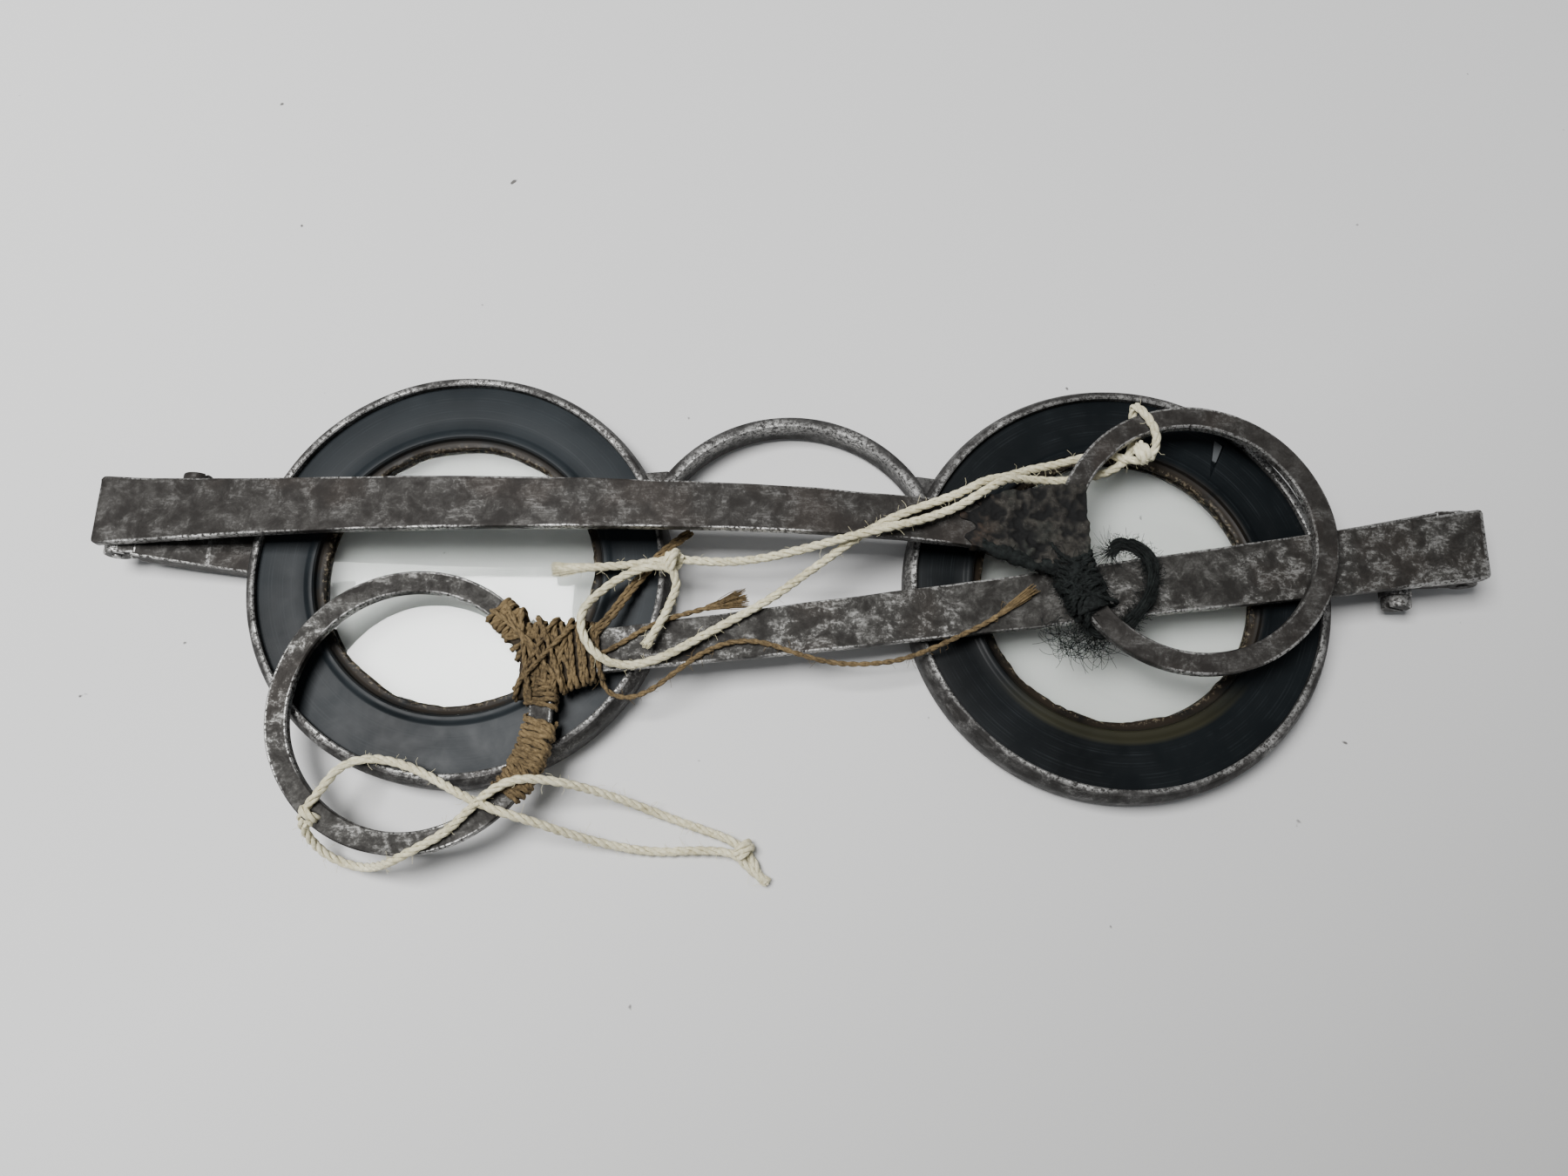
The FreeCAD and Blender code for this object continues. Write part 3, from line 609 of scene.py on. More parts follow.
# %% The two cream strings and the long linen end
def string_piece(name, route, radius, plies, pitch, material, body, node,
                 seed, hairs):
    """A twisted string along a route, and its fuzz."""
    line = spaced(route_line(route), 0.16 * MM)
    mesh = tubes(yarns(line, radius * MM, plies, pitch * MM, 0.12, seed),
                 radius * MM * PLY_SIZE[plies])
    made = piece(name, [mesh], material, body, [node], 60.0)
    piece(name + "_fuzz", [fuzz(line, radius, hairs, 1.1, seed)], material, body,
          (), 60.0)
    tuple(line[0])
    length_of(line)
    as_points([tuple(p) for p in line[::4]] + [tuple(line[-1])])
    print(name, "%.1f mm long" % (length_of(line) / MM))
    return line


upper_line = string_piece("upper_string", UPPER_STRING, STRING_R, 3, COTTON_LAY, cotton,
                          "left_side_body", "white_string_upper",
                          5, 260)
lower_line = string_piece("lower_string", LOWER_STRING, STRING_R, 3, COTTON_LAY, cotton,
                          "right_side_body", "white_string_lower",
                          8, 170)
linen_line = string_piece("linen_long_end", LINEN_TAIL, LINEN_R, 2, LINEN_LAY, linen,
                          "right_side_body", "linen_thread_tail",
                          13, 60)

# %% [markdown]
# ## Knots and cut ends
# Each string is closed by a small overhand knot, and its cut ends are flared.
# A knot seen from outside is a turn and a half of string lying tight round
# the others, which a short helix shows well.

# %% Knots and cut ends
def knot(centre, way, radius, rise, turns, string_r, seed):
    """A tight helix of twisted string round a centre, along way."""
    way = Vector(way).normalized()
    side = way.orthogonal().normalized()
    other = way.cross(side)
    line = []
    steps = int(60 * turns)
    for i in range(steps + 1):
        t = i / steps
        a = 2 * math.pi * turns * t
        squeeze = radius * (1.0 - 0.25 * abs(2 * t - 1) ** 3)
        line.append(at(*centre) + (side * math.cos(a) + other * math.sin(a)) * squeeze
                    * MM + way * rise * (t - 0.5) * MM)
    line = spaced(line, 0.12 * MM)
    return tubes(yarns(line, string_r * MM, 3, COTTON_LAY * MM, 0.12, seed),
                 string_r * MM * PLY_SIZE[3])


upper_bits = [
    knot((-10.4, 0.75, 6.2), (1.0, -0.35, 0.1), 0.82, 0.8, 1.9, 0.42, 3),
    knot((32.5, 12.0, 6.9), (1.0, 0.45, 0.3), 0.78, 1.0, 1.6, 0.42, 9),
    brush(upper_line[::-1], 2.6, 0.5, 0.34, 0.72, 230, 1, 0.035),
    brush(upper_line, 0.8, 0.25, 0.34, 0.46, 120, 2)]
piece("upper_string_knot", upper_bits, cotton, "left_side_body", (), 60)
lower_bits = [
    knot((-3.4, -24.4, 1.0), (0.6, -0.8, 0.1), 0.72, 0.9, 1.9, 0.40, 4),
    knot((-40.6, -22.6, 5.9), (0.7, 0.7, 0.0), 0.7, 1.0, 1.3, 0.40, 6),
    brush(lower_line[::-1], 0.8, 0.3, 0.34, 0.5, 120, 5)]
piece("lower_string_knot", lower_bits, cotton, "right_side_body", (),
      60)


# %% [markdown]
# ## Turned pieces: rims, margins and lenses
# A rim, a horn margin and a lens are all round, so each is half a section
# spun about the middle.  The section's corners carry small chamfers, because
# a real edge catches light.  The rims are cut through at the endpieces, where
# a screw closes them round the horn.


# %% Spinning a section
def spun(section, centre_x, centre_y, start=0.0, sweep=360.0, steps=200, closed=True):
    """A closed section (radius, z) swept about an upright line."""
    bm = bmesh.new()
    a = math.radians(start)
    verts = [bm.verts.new(at(centre_x + r * math.cos(a), centre_y + r * math.sin(a), z))
             for r, z in section]
    count = len(verts)
    edges = [bm.edges.new((verts[i], verts[(i + 1) % count]))
             for i in range(count if closed else count - 1)]
    whole = sweep >= 360.0
    bmesh.ops.spin(bm, geom=verts + edges, cent=at(centre_x, centre_y, 0),
                   axis=(0, 0, 1), angle=math.radians(sweep), steps=steps,
                   use_merge=whole, use_duplicate=False)
    if not whole:
        ends = [e for e in bm.edges if e.is_boundary]
        bmesh.ops.edgeloop_fill(bm, edges=ends)
    bmesh.ops.remove_doubles(bm, verts=bm.verts, dist=1e-7)
    bmesh.ops.recalc_face_normals(bm, faces=bm.faces)
    return bm


def paint_wear(bm, rule):
    """Writes how rubbed each point is, from 0 to 1."""
    layer = bm.verts.layers.float.new("wear")
    for v in bm.verts:
        v[layer] = rule(v)
    return bm


def wear_at_edges(v):
    """High along sharp edges, in broken runs, and none on flat faces."""
    turn_here = max(e.calc_face_angle(0.0) for e in v.link_edges)
    if turn_here < 0.36:
        return 0.0
    return min(max(0.66 + 1.1 * noise.noise(v.co * 220), 0.0), 1.0)


def rubbed_edges(bm, flats=True):
    """Paints the wear, after giving each broad flat face points inside it."""
    bm.normal_update()
    if flats:
        broad = [f for f in bm.faces if f.calc_area() > 1.0 * MM * MM]
        bmesh.ops.inset_individual(bm, faces=broad, thickness=0.14 * MM)
        bm.normal_update()
    return paint_wear(bm, wear_at_edges)


# %% Rims
SLIT_AT = 12.9             # degrees above the middle
RIM_SECTION = [
    (RIM_IN + 0.08, 0.0), (RIM_OUT - 0.55, 0.0), (RIM_OUT - 0.3, 0.12),
    (RIM_OUT - 0.05, 0.7), (RIM_OUT, 1.0), (RIM_OUT, RIM_DEPTH - 1.3),
    (RIM_OUT - 0.06, RIM_DEPTH - 1.0), (RIM_IN + 0.68, RIM_DEPTH - 0.1),
    (RIM_IN + 0.56, RIM_DEPTH), (RIM_IN + 0.12, RIM_DEPTH),
    (RIM_IN, RIM_DEPTH - 0.1), (RIM_IN, MARGIN_BACK), (RIM_IN + 0.3, MARGIN_BACK),
    (RIM_IN + 0.3, MARGIN_FRONT), (RIM_IN, MARGIN_FRONT), (RIM_IN, 0.08)]


def rim_wear(centre_x):
    def rule(v):
        r = math.hypot(v.co.x / MM - centre_x, v.co.y / MM - SHIFT_Y)
        z = v.co.z / MM
        broken = 0.5 * noise.noise(v.co * 300)
        if z > RIM_DEPTH - 0.15:
            return (0.75 if r < RIM_IN + 0.3 else 0.3) + broken
        return 0.25 + broken if z > RIM_DEPTH - 1.2 or z < 0.15 else 0.1
    return rule


HALF_SLIT = 0.2            # degrees
for side, sign in SIDES:
    cx = sign * RIM_X
    start = (SLIT_AT if sign > 0 else 180 - SLIT_AT) + HALF_SLIT
    rim = spun(RIM_SECTION, cx, 0, start, 360 - 2 * HALF_SLIT, 220)
    for v in rim.verts:
        if v.co.z > 3.3 * MM:
            out = Vector((v.co.x - cx * MM, v.co.y - SHIFT_Y * MM, 0)).normalized()
            v.co += out * 0.03 * noise.noise(v.co * 180) * MM
    piece(side + "_rim", paint_wear(rim, rim_wear(cx)), rim_steel, "front",
          [side + "_eye_rim"])

# %% [markdown]
# The horn margin has a flat back, a rounded ridge near the lens, then a step
# down to a thin lip that holds the glass.  The lip's edge is ragged, so its
# points move in and out a little.  One margin is cracked: a thin wedge is
# taken out of it with a Boolean, which keeps the rest of the ring clean.

# %% Margins
MARGIN_SECTION = [
    (RIM_IN + 0.28, MARGIN_FRONT), (RIM_IN + 0.28, MARGIN_BACK - 0.04),
    (RIM_IN - 0.1, MARGIN_BACK), (17.0, MARGIN_BACK + 0.03), (15.4, MARGIN_BACK + 0.03),
    (14.35, MARGIN_BACK - 0.02), (14.15, MARGIN_BACK + 0.02),
    (13.98, MARGIN_BACK + 0.14), (13.75, MARGIN_BACK + 0.2),
    (13.5, MARGIN_BACK + 0.18), (13.34, MARGIN_BACK + 0.06),
    (REBATE_R + 0.02, MARGIN_BACK - 0.3), (REBATE_R - 0.12, MARGIN_BACK - 0.38),
    (12.85, MARGIN_BACK - 0.42), (12.6, MARGIN_BACK - 0.45), (OPEN_R + 0.05, 2.95),
    (OPEN_R, 2.75), (OPEN_R + 0.5, 2.7), (OPEN_R + 0.5, 1.8), (OPEN_R, 1.78),
    (OPEN_R, 1.5), (REBATE_R, MARGIN_FRONT)]


def made_whole(bm_a, bm_b, operation):
    """The Boolean of two bmeshes, as a new bmesh."""
    obj_a, obj_b = shown("a", as_mesh(bm_a)), shown("b", as_mesh(bm_b))
    mod = obj_a.modifiers.new("cut", "BOOLEAN")
    mod.operation = operation
    mod.object = obj_b
    mod.solver = "EXACT"
    bpy.context.view_layer.update()
    graph = bpy.context.evaluated_depsgraph_get()
    mesh = bpy.data.meshes.new_from_object(obj_a.evaluated_get(graph))
    for obj in (obj_a, obj_b):
        bpy.data.objects.remove(obj)
    return as_bmesh(mesh)


for side, sign in SIDES:
    cx = sign * RIM_X
    margin = spun(MARGIN_SECTION, cx, 0)
    for v in margin.verts:
        middle = Vector((cx, SHIFT_Y, v.co.z / MM)) * MM
        out = v.co - middle
        if out.length < 12.75 * MM and v.co.z > 2.72 * MM:
            v.co += out.normalized() * MM * (
                0.22 * noise.noise(v.co * 500) + 0.12 * noise.noise(v.co * 1700))
    if side == "right":
        wedge = bmesh.new()
        bmesh.ops.create_cone(wedge, cap_ends=True, segments=3, radius1=0.14 * MM,
                              radius2=0.9 * MM, depth=4.1 * MM)
        wedge.transform(Matrix.Translation(at(cx + 9.75, 12.5, MARGIN_BACK + 0.16))
                        @ Matrix.Rotation(math.radians(70), 4, "Z")
                        @ Matrix.Rotation(math.radians(90), 4, "Y"))
        margin = made_whole(margin, wedge, "DIFFERENCE")
    piece(side + "_margin", margin, horn_left_sheened if sign < 0 else horn_right, "front",
          [side + "_horn_margin"], 25.0)

# %% [markdown]
# A lens is a thin disc with two domed faces.  Its half section runs from the
# axis to the edge, so a full spin closes it at both poles.

# %% Lenses
CROWN, LENS_EDGE_R, LENS_LOW, LENS_HIGH = 0.45, 12.86, 1.8, 2.7
dome = [(OPEN_R * k / 14.0, CROWN * (1 - (k / 14.0) ** 2)) for k in range(15)]
section = ([(r, LENS_HIGH + h) for r, h in dome]
           + [(LENS_EDGE_R, LENS_HIGH - 0.02), (LENS_EDGE_R, LENS_LOW + 0.02)]
           + [(r, LENS_LOW - h) for r, h in reversed(dome)])
for side, sign in SIDES:
    lens = spun(section, sign * RIM_X, 0, 0, 360, 128, closed=False)
    piece(side + "_lens_glass", lens, glass, "front", [side + "_lens"], 50)

# %% [markdown]
# ## Flat pieces
# An outline raised to a height makes a plate, and a small chamfer on each
# edge makes it look handled.  The first one is a pale splinter that still
# stands in the crack of the right margin.


# %% Raising, easing and joining
def lifted(bm, by):
    """Raises all faces by a step in millimetres, with walls round them."""
    raised = bmesh.ops.extrude_face_region(bm, geom=list(bm.faces))
    moved = [v for v in raised["geom"] if isinstance(v, bmesh.types.BMVert)]
    bmesh.ops.translate(bm, verts=moved, vec=Vector(by) * MM)
    bmesh.ops.recalc_face_normals(bm, faces=bm.faces)


def prism(points, low, high, bevel, segments=2):
    """An outline raised between two heights, with its edges eased."""
    bm = bmesh.new()
    bm.faces.new([bm.verts.new(at(x, y, low)) for x, y in points])
    lifted(bm, (0, 0, high - low))
    ease(bm, list(bm.edges), bevel, segments)
    return bm


def ease(bm, edges, width, segments=2):
    """Small chamfers, so that edges catch light."""
    bmesh.ops.bevel(bm, geom=edges, offset=width * MM, offset_type="OFFSET",
                    segments=segments, profile=0.5, affect="EDGES", material=-1,
                    clamp_overlap=True)


def merged(*parts):
    """Several bmeshes as one."""
    return as_bmesh(*[as_mesh(part) for part in parts])


# %% Splinter
splinter = prism([(40.45, 14.75), (41.2, 14.2), (40.45, 12.5), (40.1, 12.7)],
                 MARGIN_BACK - 0.5, MARGIN_BACK + 0.06, 0.04, 1)
piece("right_margin_splinter", splinter, horn_splinter, "front", (), 25.0)

# %% [markdown]
# ## Bridge
# The bridge is one flat band bent to an arch, thin seen from behind and deep
# from front to back.  A partial spin of its rounded section makes the arch,
# and two small feet thicken it where it is brazed to the rims.

# %% Bridge
ARCH_X, ARCH_Y, ARCH_OUT, ARCH_W = 0.2, 1.6, 14.75, 1.2
arch_section = [
    (ARCH_OUT - ARCH_W, 0.7), (ARCH_OUT - ARCH_W + 0.12, 0.6), (ARCH_OUT - 0.2, 0.6),
    (ARCH_OUT, 0.8), (ARCH_OUT, 3.15), (ARCH_OUT - 0.12, 3.42), (ARCH_OUT - 0.4, 3.6),
    (ARCH_OUT - ARCH_W + 0.14, 3.6), (ARCH_OUT - ARCH_W, 3.5)]
bridge = spun(arch_section, ARCH_X, ARCH_Y, 24.5, 131.0, 90)
feet = []
for sign in (-1, 1):
    corners = [(ARCH_X + sign * (ARCH_OUT + d), y) for d, y in (
        (-3.1, 10.6), (-1.2, 10.4), (0.9, 9.9), (0.1, 7.1), (-1.7, 7.1))]
    feet.append(prism(corners, 1.0, 3.35, 0.25))
bridge = merged(bridge, *feet)


def bridge_wear(v):
    r = math.hypot(v.co.x / MM - ARCH_X, v.co.y / MM - SHIFT_Y - ARCH_Y)
    broken = 0.4 * noise.noise(v.co * 260)
    if v.co.z / MM > 3.3 and r < ARCH_OUT - 0.5:
        return 0.85 + broken
    return 0.35 + broken if v.co.z / MM > 3.0 else 0.1


piece("bridge_arch", paint_wear(bridge, bridge_wear), rim_steel, "front",
      ["bridge"])

# %% [markdown]
# ## Endpieces, hinges and closing screws
# Each endpiece is split along its length: the two halves are brazed to the two
# ends of the cut rim, and the screw pulls them together.  Their outer ends
# carry the front's hinge knuckles, and the side's knuckle sits between them on
# a plain pin.

# %% Endpieces
SPLIT_Y, BARREL_LOW, BARREL_HIGH, MID_LOW, MID_HIGH = 4.3, 0.9, 7.9, 2.75, 6.05
SCREW_X, SCREW_Z, EP_TOP = 56.6, 2.4, 8.2
SLANT_ROOT, SLANT_TOP = 5.9, 7.7         # the other endpiece's upper edge slants
PIN_R, PIN_PROUD, SPLIT_GAP, BOSS_LOW = 0.5, 0.15, 0.03, -0.1


def laid_along_y(bm, x, low, high, z):
    """An upright turned shape round the origin, laid down along y."""
    bm.transform(Matrix.Translation(at(x, (low + high) / 2, z))
                 @ Matrix.Rotation(math.radians(90), 4, "X"))
    return bm


def y_cylinder(x, z, radius, low, high, bevel=0.0, segments=32):
    """A plain round bar along y, with eased rims."""
    bm = bmesh.new()
    bmesh.ops.create_cone(bm, cap_ends=True, segments=segments, radius1=radius * MM,
                          radius2=radius * MM, depth=(high - low) * MM)
    if bevel:
        rims = [e for e in bm.edges if len(e.link_faces) == 2
                and any(len(f.verts) > 4 for f in e.link_faces)]
        ease(bm, rims, bevel)
    return laid_along_y(bm, x, low, high, z)


def bored_drum(x, z, radius, bore, low, high, bevel):
    """A barrel along y with a hole through it for the hinge pin."""
    half = (high - low) / 2
    bm = spun([(bore, -half), (radius - bevel, -half), (radius, bevel - half),
               (radius, half - bevel), (radius - bevel, half), (bore, half)],
              0, -SHIFT_Y, steps=32)
    return laid_along_y(bm, x, low, high, z)


def level(y):
    """Two points of a line across the drawing at one height."""
    return (0.0, y), (1.0, y)


def bar(profile, low_line, high_line, bevel):
    """A side view (x, z) given depth, then trimmed by two slanting planes."""
    bm = bmesh.new()
    bm.faces.new([bm.verts.new(at(x, -6, z)) for x, z in profile])
    lifted(bm, (0, 20, 0))
    for (p, q), up in ((low_line, -1), (high_line, 1)):
        a, b = at(p[0], p[1], 0), at(q[0], q[1], 0)
        across = Vector((0, 0, 1)).cross(b - a).normalized()
        if across.y * up < 0:
            across = -across
        bmesh.ops.bisect_plane(bm, geom=list(bm.verts) + list(bm.edges) + list(bm.faces),
                               plane_co=a, plane_no=across, clear_outer=True)
        bmesh.ops.holes_fill(bm, edges=[e for e in bm.edges if e.is_boundary])
    bmesh.ops.recalc_face_normals(bm, faces=bm.faces)
    ease(bm, list(bm.edges), bevel)
    return bm


for side, sign in SIDES:
    top, low = HINGE_Z + BARREL_R - 0.08, HINGE_Z - BARREL_R + 0.08
    root, stop = RIM_X + RIM_OUT - 0.35, HINGE_X - BARREL_R - 0.35
    arm = [(sign * x, z) for x, z in (
        (root, 1.1), (57.0, 1.35), (stop, low), (stop, top - 0.1), (54.0, 3.4),
        (root, 3.05))]
    tongue = [(sign * x, z) for x, z in (
        (stop - 0.5, low), (HINGE_X, low), (HINGE_X, top), (stop - 0.5, top - 0.1))]
    low_root = -0.4 if side == "left" else 0.95
    edge_low = ((sign * root, low_root), (sign * HINGE_X, BARREL_LOW))
    edge_high = level(EP_TOP)
    if side == "right":
        edge_high = ((root, SLANT_ROOT), (HINGE_X - 2.4, SLANT_TOP))
    upper = merged(
        bar(arm, level(SPLIT_Y + SPLIT_GAP), edge_high, 0.16),
        bar(tongue, level(MID_HIGH), level(BARREL_HIGH - 0.05), 0.1),
        y_cylinder(sign * HINGE_X, HINGE_Z, BARREL_R, MID_HIGH, BARREL_HIGH, 0.12))
    lower = merged(
        bar(arm, edge_low, level(SPLIT_Y - SPLIT_GAP), 0.16),
        bar(tongue, level(BARREL_LOW + 0.08), level(MID_LOW), 0.1),
        y_cylinder(sign * HINGE_X, HINGE_Z, BARREL_R, BARREL_LOW, MID_LOW, 0.12))
    if side == "right":
        boss = y_cylinder(SCREW_X, SCREW_Z, 1.42, BOSS_LOW, 2.0, 0.12)
        lower = merged(lower, boss)
    for name, half in (("upper", upper), ("lower", lower)):
        rubbed_edges(half)
        piece("%s_endpiece_%s_half" % (side, name), half, side_steel, "front",
              ["%s_endpiece_%s" % (side, name)])
    pin = y_cylinder(sign * HINGE_X, HINGE_Z, PIN_R, BARREL_LOW - PIN_PROUD,
                     BARREL_HIGH + PIN_PROUD, 0.1)
    piece(side + "_pin", rubbed_edges(pin), rim_steel, "front",
          [side + "_hinge_pin"])

# %% [markdown]
# The screw heads are small drums with a slot filed across.  The slot is cut
# with a thin box by a Boolean before the edges are painted.

# %% Closing screws
HEAD_HIGH = 1.1
for side, sign, seat, out in (("left", -1, EP_TOP, 1), ("right", 1, BOSS_LOW, -1)):
    top = seat + out * HEAD_HIGH
    low, high = sorted((seat, top))
    head = y_cylinder(sign * SCREW_X, SCREW_Z, 1.3, low, high, 0.15, 36)
    slot_box = bmesh.new()
    bmesh.ops.create_cube(slot_box, size=1.0)
    slot_box.transform(Matrix.Translation(at(sign * SCREW_X, top, SCREW_Z))
                       @ Matrix.Rotation(0.5 * sign, 4, "Y")
                       @ Matrix.Diagonal((3.2 * MM, 0.9 * MM, 0.36 * MM, 1)))
    head = made_whole(head, slot_box, "DIFFERENCE")
    ends = (1.0, seat + 0.2) if out > 0 else (seat - 0.2, SLANT_ROOT)
    shank = y_cylinder(sign * SCREW_X, SCREW_Z, 0.58, *ends)
    piece(side + "_screw", rubbed_edges(merged(head, shank)), side_steel, "front",
          [side + "_closing_screw"])

# %% [markdown]
# ## Sides
# A side is a long flat strip, widest at the hinge, that flares into a big
# ring.  A grid is laid along the strip, its points are moved to the strip's
# own width, slant and bow, and the sheet is raised to its thickness.  The
# ring is a spun band, and a Boolean joins the two into one closed shell.

# %% Shape of the strips, in millimetres
UPPER_STATIONS = [
    (-63.7, 4.6, 6.5), (-56.0, 4.75, 5.8), (-46.0, 4.95, 5.2), (-32.0, 5.15, 4.9),
    (-16.0, 5.2, 4.5), (0.0, 5.05, 4.2), (14.0, 4.5, 4.1), (18.5, 4.4, 5.0),
    (23.0, 4.35, 7.0), (25.3, 4.25, 7.7)]
UPPER_BOW = [(-63.7, 4.9), (-61.1, 4.9), (-57.5, 5.2), (-46.0, 6.4), (-30.0, 7.8),
             (-12.0, 8.4), (4.0, 8.1), (16.0, 7.3), (24.0, 6.8), (26.0, 6.8)]
LOWER_STATIONS = [
    (-22.3, -8.6, 5.2), (-19.5, -8.0, 4.4), (-15.5, -7.4, 3.95), (0.0, -5.25, 4.5),
    (24.5, -1.7, 5.1), (49.5, 2.1, 6.0), (63.7, 4.3, 6.6)]


def eased_value(table, x, column):
    """A smooth value between a table's rows, with level-headed slopes."""
    last, i = len(table) - 1, 0
    while i < last - 1 and x > table[i + 1][0]:
        i += 1

    def slope(k):
        before, after = table[max(k - 1, 0)], table[min(k + 1, last)]
        return (after[column] - before[column]) / (after[0] - before[0])
    span = table[i + 1][0] - table[i][0]
    t = min(max((x - table[i][0]) / span, 0.0), 1.0)
    a, b = table[i][column], table[i + 1][column]
    return ((2 * t**3 - 3 * t**2 + 1) * a + (t**3 - 2 * t**2 + t) * span * slope(i)
            + (-2 * t**3 + 3 * t**2) * b + (t**3 - t**2) * span * slope(i + 1))


# %% Building a side
def side_shell(stations, bow, ring, hinge_sign):
    """A strip joined to its ring; a bow table lifts the strip along its length."""
    x0, x1 = stations[0][0], stations[-1][0]
    bm = bmesh.new()
    bmesh.ops.create_grid(bm, x_segments=150, y_segments=8, size=1.0)
    for v in bm.verts:
        along = (v.co.x + 1) / 2
        across = math.copysign(abs(v.co.y) ** 0.45, v.co.y)
        x = x0 + (x1 - x0) * along
        middle = eased_value(stations, x, 1)
        width = eased_value(stations, x, 2)
        width += 0.10 * noise.noise(Vector((x * 0.25, across * 3, 5.0)))
        z = eased_value(bow, x, 1) if bow else STRIP_Z
        v.co = at(x, middle + across * width / 2, z)
    lifted(bm, (0, 0, SIDE_T))
    end_x = hinge_sign * END_X * MM
    corners = [e for e in bm.edges
               if all(abs(v.co.x - end_x) < 1e-6 for v in e.verts)
               and abs(e.verts[0].co.z - e.verts[1].co.z) > 0.5 * SIDE_T * MM
               and len(e.link_faces) == 2 and e.calc_face_angle() > 1.0]
    ease(bm, corners, 0.45, 3)
    sharp = [e for e in bm.edges if e.is_manifold and e.calc_face_angle() > 1.0]
    ease(bm, sharp, 0.13, 2)
    rx, ry, rz = ring
    section = [
        (RING_IN, rz + 0.12), (RING_IN + 0.12, rz), (RING_IN + 0.35, rz),
        (RING_OUT - 0.35, rz), (RING_OUT - 0.12, rz), (RING_OUT, rz + 0.12),
        (RING_OUT, rz + SIDE_T - 0.13), (RING_OUT - 0.13, rz + SIDE_T),
        (RING_OUT - 0.35, rz + SIDE_T), (RING_IN + 0.35, rz + SIDE_T),
        (RING_IN + 0.13, rz + SIDE_T), (RING_IN, rz + SIDE_T - 0.13)]
    band = spun(section, rx, ry, 0, 360, 160)
    for v in band.verts:
        out = v.co - Vector((rx, ry + SHIFT_Y, v.co.z / MM)) * MM
        lean = noise.noise(out * 160 + Vector((3, 1, rx)))
        v.co += out.normalized() * 0.09 * lean * MM
    whole = made_whole(bm, band, "UNION")
    bmesh.ops.remove_doubles(whole, verts=whole.verts, dist=2e-6)
    return rubbed_edges(whole, False)


upper_side = side_shell(UPPER_STATIONS, UPPER_BOW, UPPER_RING, -1)
piece("upper_side_leaf", upper_side, side_steel, "left_side_body",
      ["left_side"])
lower_side = side_shell(LOWER_STATIONS, None, LOWER_RING, 1)
piece("lower_side_leaf", lower_side, brushed_steel, "right_side_body",
      ["right_side"])

# %% [markdown]
# Under each strip's hinge end hangs the side's own knuckle: a drum bored for
# the pin, and a short neck that joins it to the strip.

# %% Side knuckles
PIN_BORE, END_PLAY = 0.55, 0.06
for side, sign, body in (("left", -1, "left_side_body"), ("right", 1, "right_side_body")):
    x = sign * HINGE_X
    drum = bored_drum(x, HINGE_Z, BARREL_R, PIN_BORE, MID_LOW + END_PLAY,
                      MID_HIGH - END_PLAY, 0.1)
    neck = prism([(x - 1.2, MID_LOW + 0.08), (x + 1.2, MID_LOW + 0.08),
                  (x + 1.2, MID_HIGH - 0.08), (x - 1.2, MID_HIGH - 0.08)],
                 HINGE_Z + 0.7, STRIP_Z + 0.02, 0.06)
    piece(side + "_knuckle", rubbed_edges(merged(drum, neck)), side_steel,
          body, [side + "_side_knuckle"])

# %% [markdown]
# ## Linen binding
# A brown linen thread is wound round the lower side where it joins its ring,
# crossing over itself in all directions, with a bare gap before a second
# short winding.  Under the thread lies a rough core of far darker linen, which
# stands for the deeper turns and paints the shade in the gaps between them, so
# that no gap shows steel, and each turn is a line that goes round the band's
# cross-section.


# %% Winding a thread
def squared(angle, half_a, half_b):
    """A point on a rounded rectangle, by angle."""
    c, s = math.cos(angle), math.sin(angle)
    return (math.copysign(abs(c) ** 0.55, c) * half_a,
            math.copysign(abs(s) ** 0.55, s) * half_b)


def wound_on_ring(ring, start, stop, turns, gap, seed, lean=2.0):
    """A thread wound round part of a ring's band."""
    rnd = random.Random(seed)
    rx, ry, rz = ring
    middle_r, middle_z = (RING_OUT + RING_IN) / 2, rz + SIDE_T / 2
    a = (RING_OUT - RING_IN) / 2 + gap
    b = SIDE_T / 2 + gap
    line, per = [], 26                     # points in one turn
    tilts = [rnd.uniform(-lean, lean) for _ in range(turns + 2)]
    steps = [rnd.uniform(0.7, 1.3) for _ in range(turns)]
    total, walked = sum(steps), 0.0
    for k in range(turns):
        for i in range(per):
            t = i / per
            u, w = squared(2 * math.pi * t, a, b)
            tilt = tilts[k] * (1 - t) + tilts[k + 1] * t
            here = start + (stop - start) * (walked + steps[k] * t) / total
            here = math.radians(here + tilt * (u / a))
            line.append(at(rx + (middle_r + u) * math.cos(here),
                           ry + (middle_r + u) * math.sin(here), middle_z + w))
        walked += steps[k]
    return line


def wound_across(centre, direction, half, seed, gap=0.3, low=None, high=None):
    """One thread loop round the flat fork, over the top and back underneath."""
    rnd = random.Random(seed)
    way = Vector((math.cos(direction), math.sin(direction), 0))
    side = Vector((-way.y, way.x, 0))
    low = STRIP_Z - gap if low is None else low
    high = STRIP_Z + SIDE_T + gap if high is None else high
    bulge = rnd.uniform(-0.15, 0.15)
    drift = rnd.uniform(-0.3, 0.3)
    line = []
    for i in range(41):
        angle = 2 * math.pi * i / 40
        u, w = squared(angle, half, (high - low) / 2)
        place = (Vector((centre[0], centre[1], (low + high) / 2)) + way * u
                 + side * (bulge * math.cos(angle * 2) + drift * i / 40)
                 + Vector((0, 0, w)))
        line.append(at(*place))
    return line


def threads(lines, radius, pitch, seed):
    """Twisted two-ply thread along each line."""
    plies = []
    for k, line in enumerate(lines):
        plies += yarns(spaced(line, 0.17 * MM), radius * MM, 2, pitch * MM, 0.1, seed + k)
    return tubes(plies, radius * MM * PLY_SIZE[2])


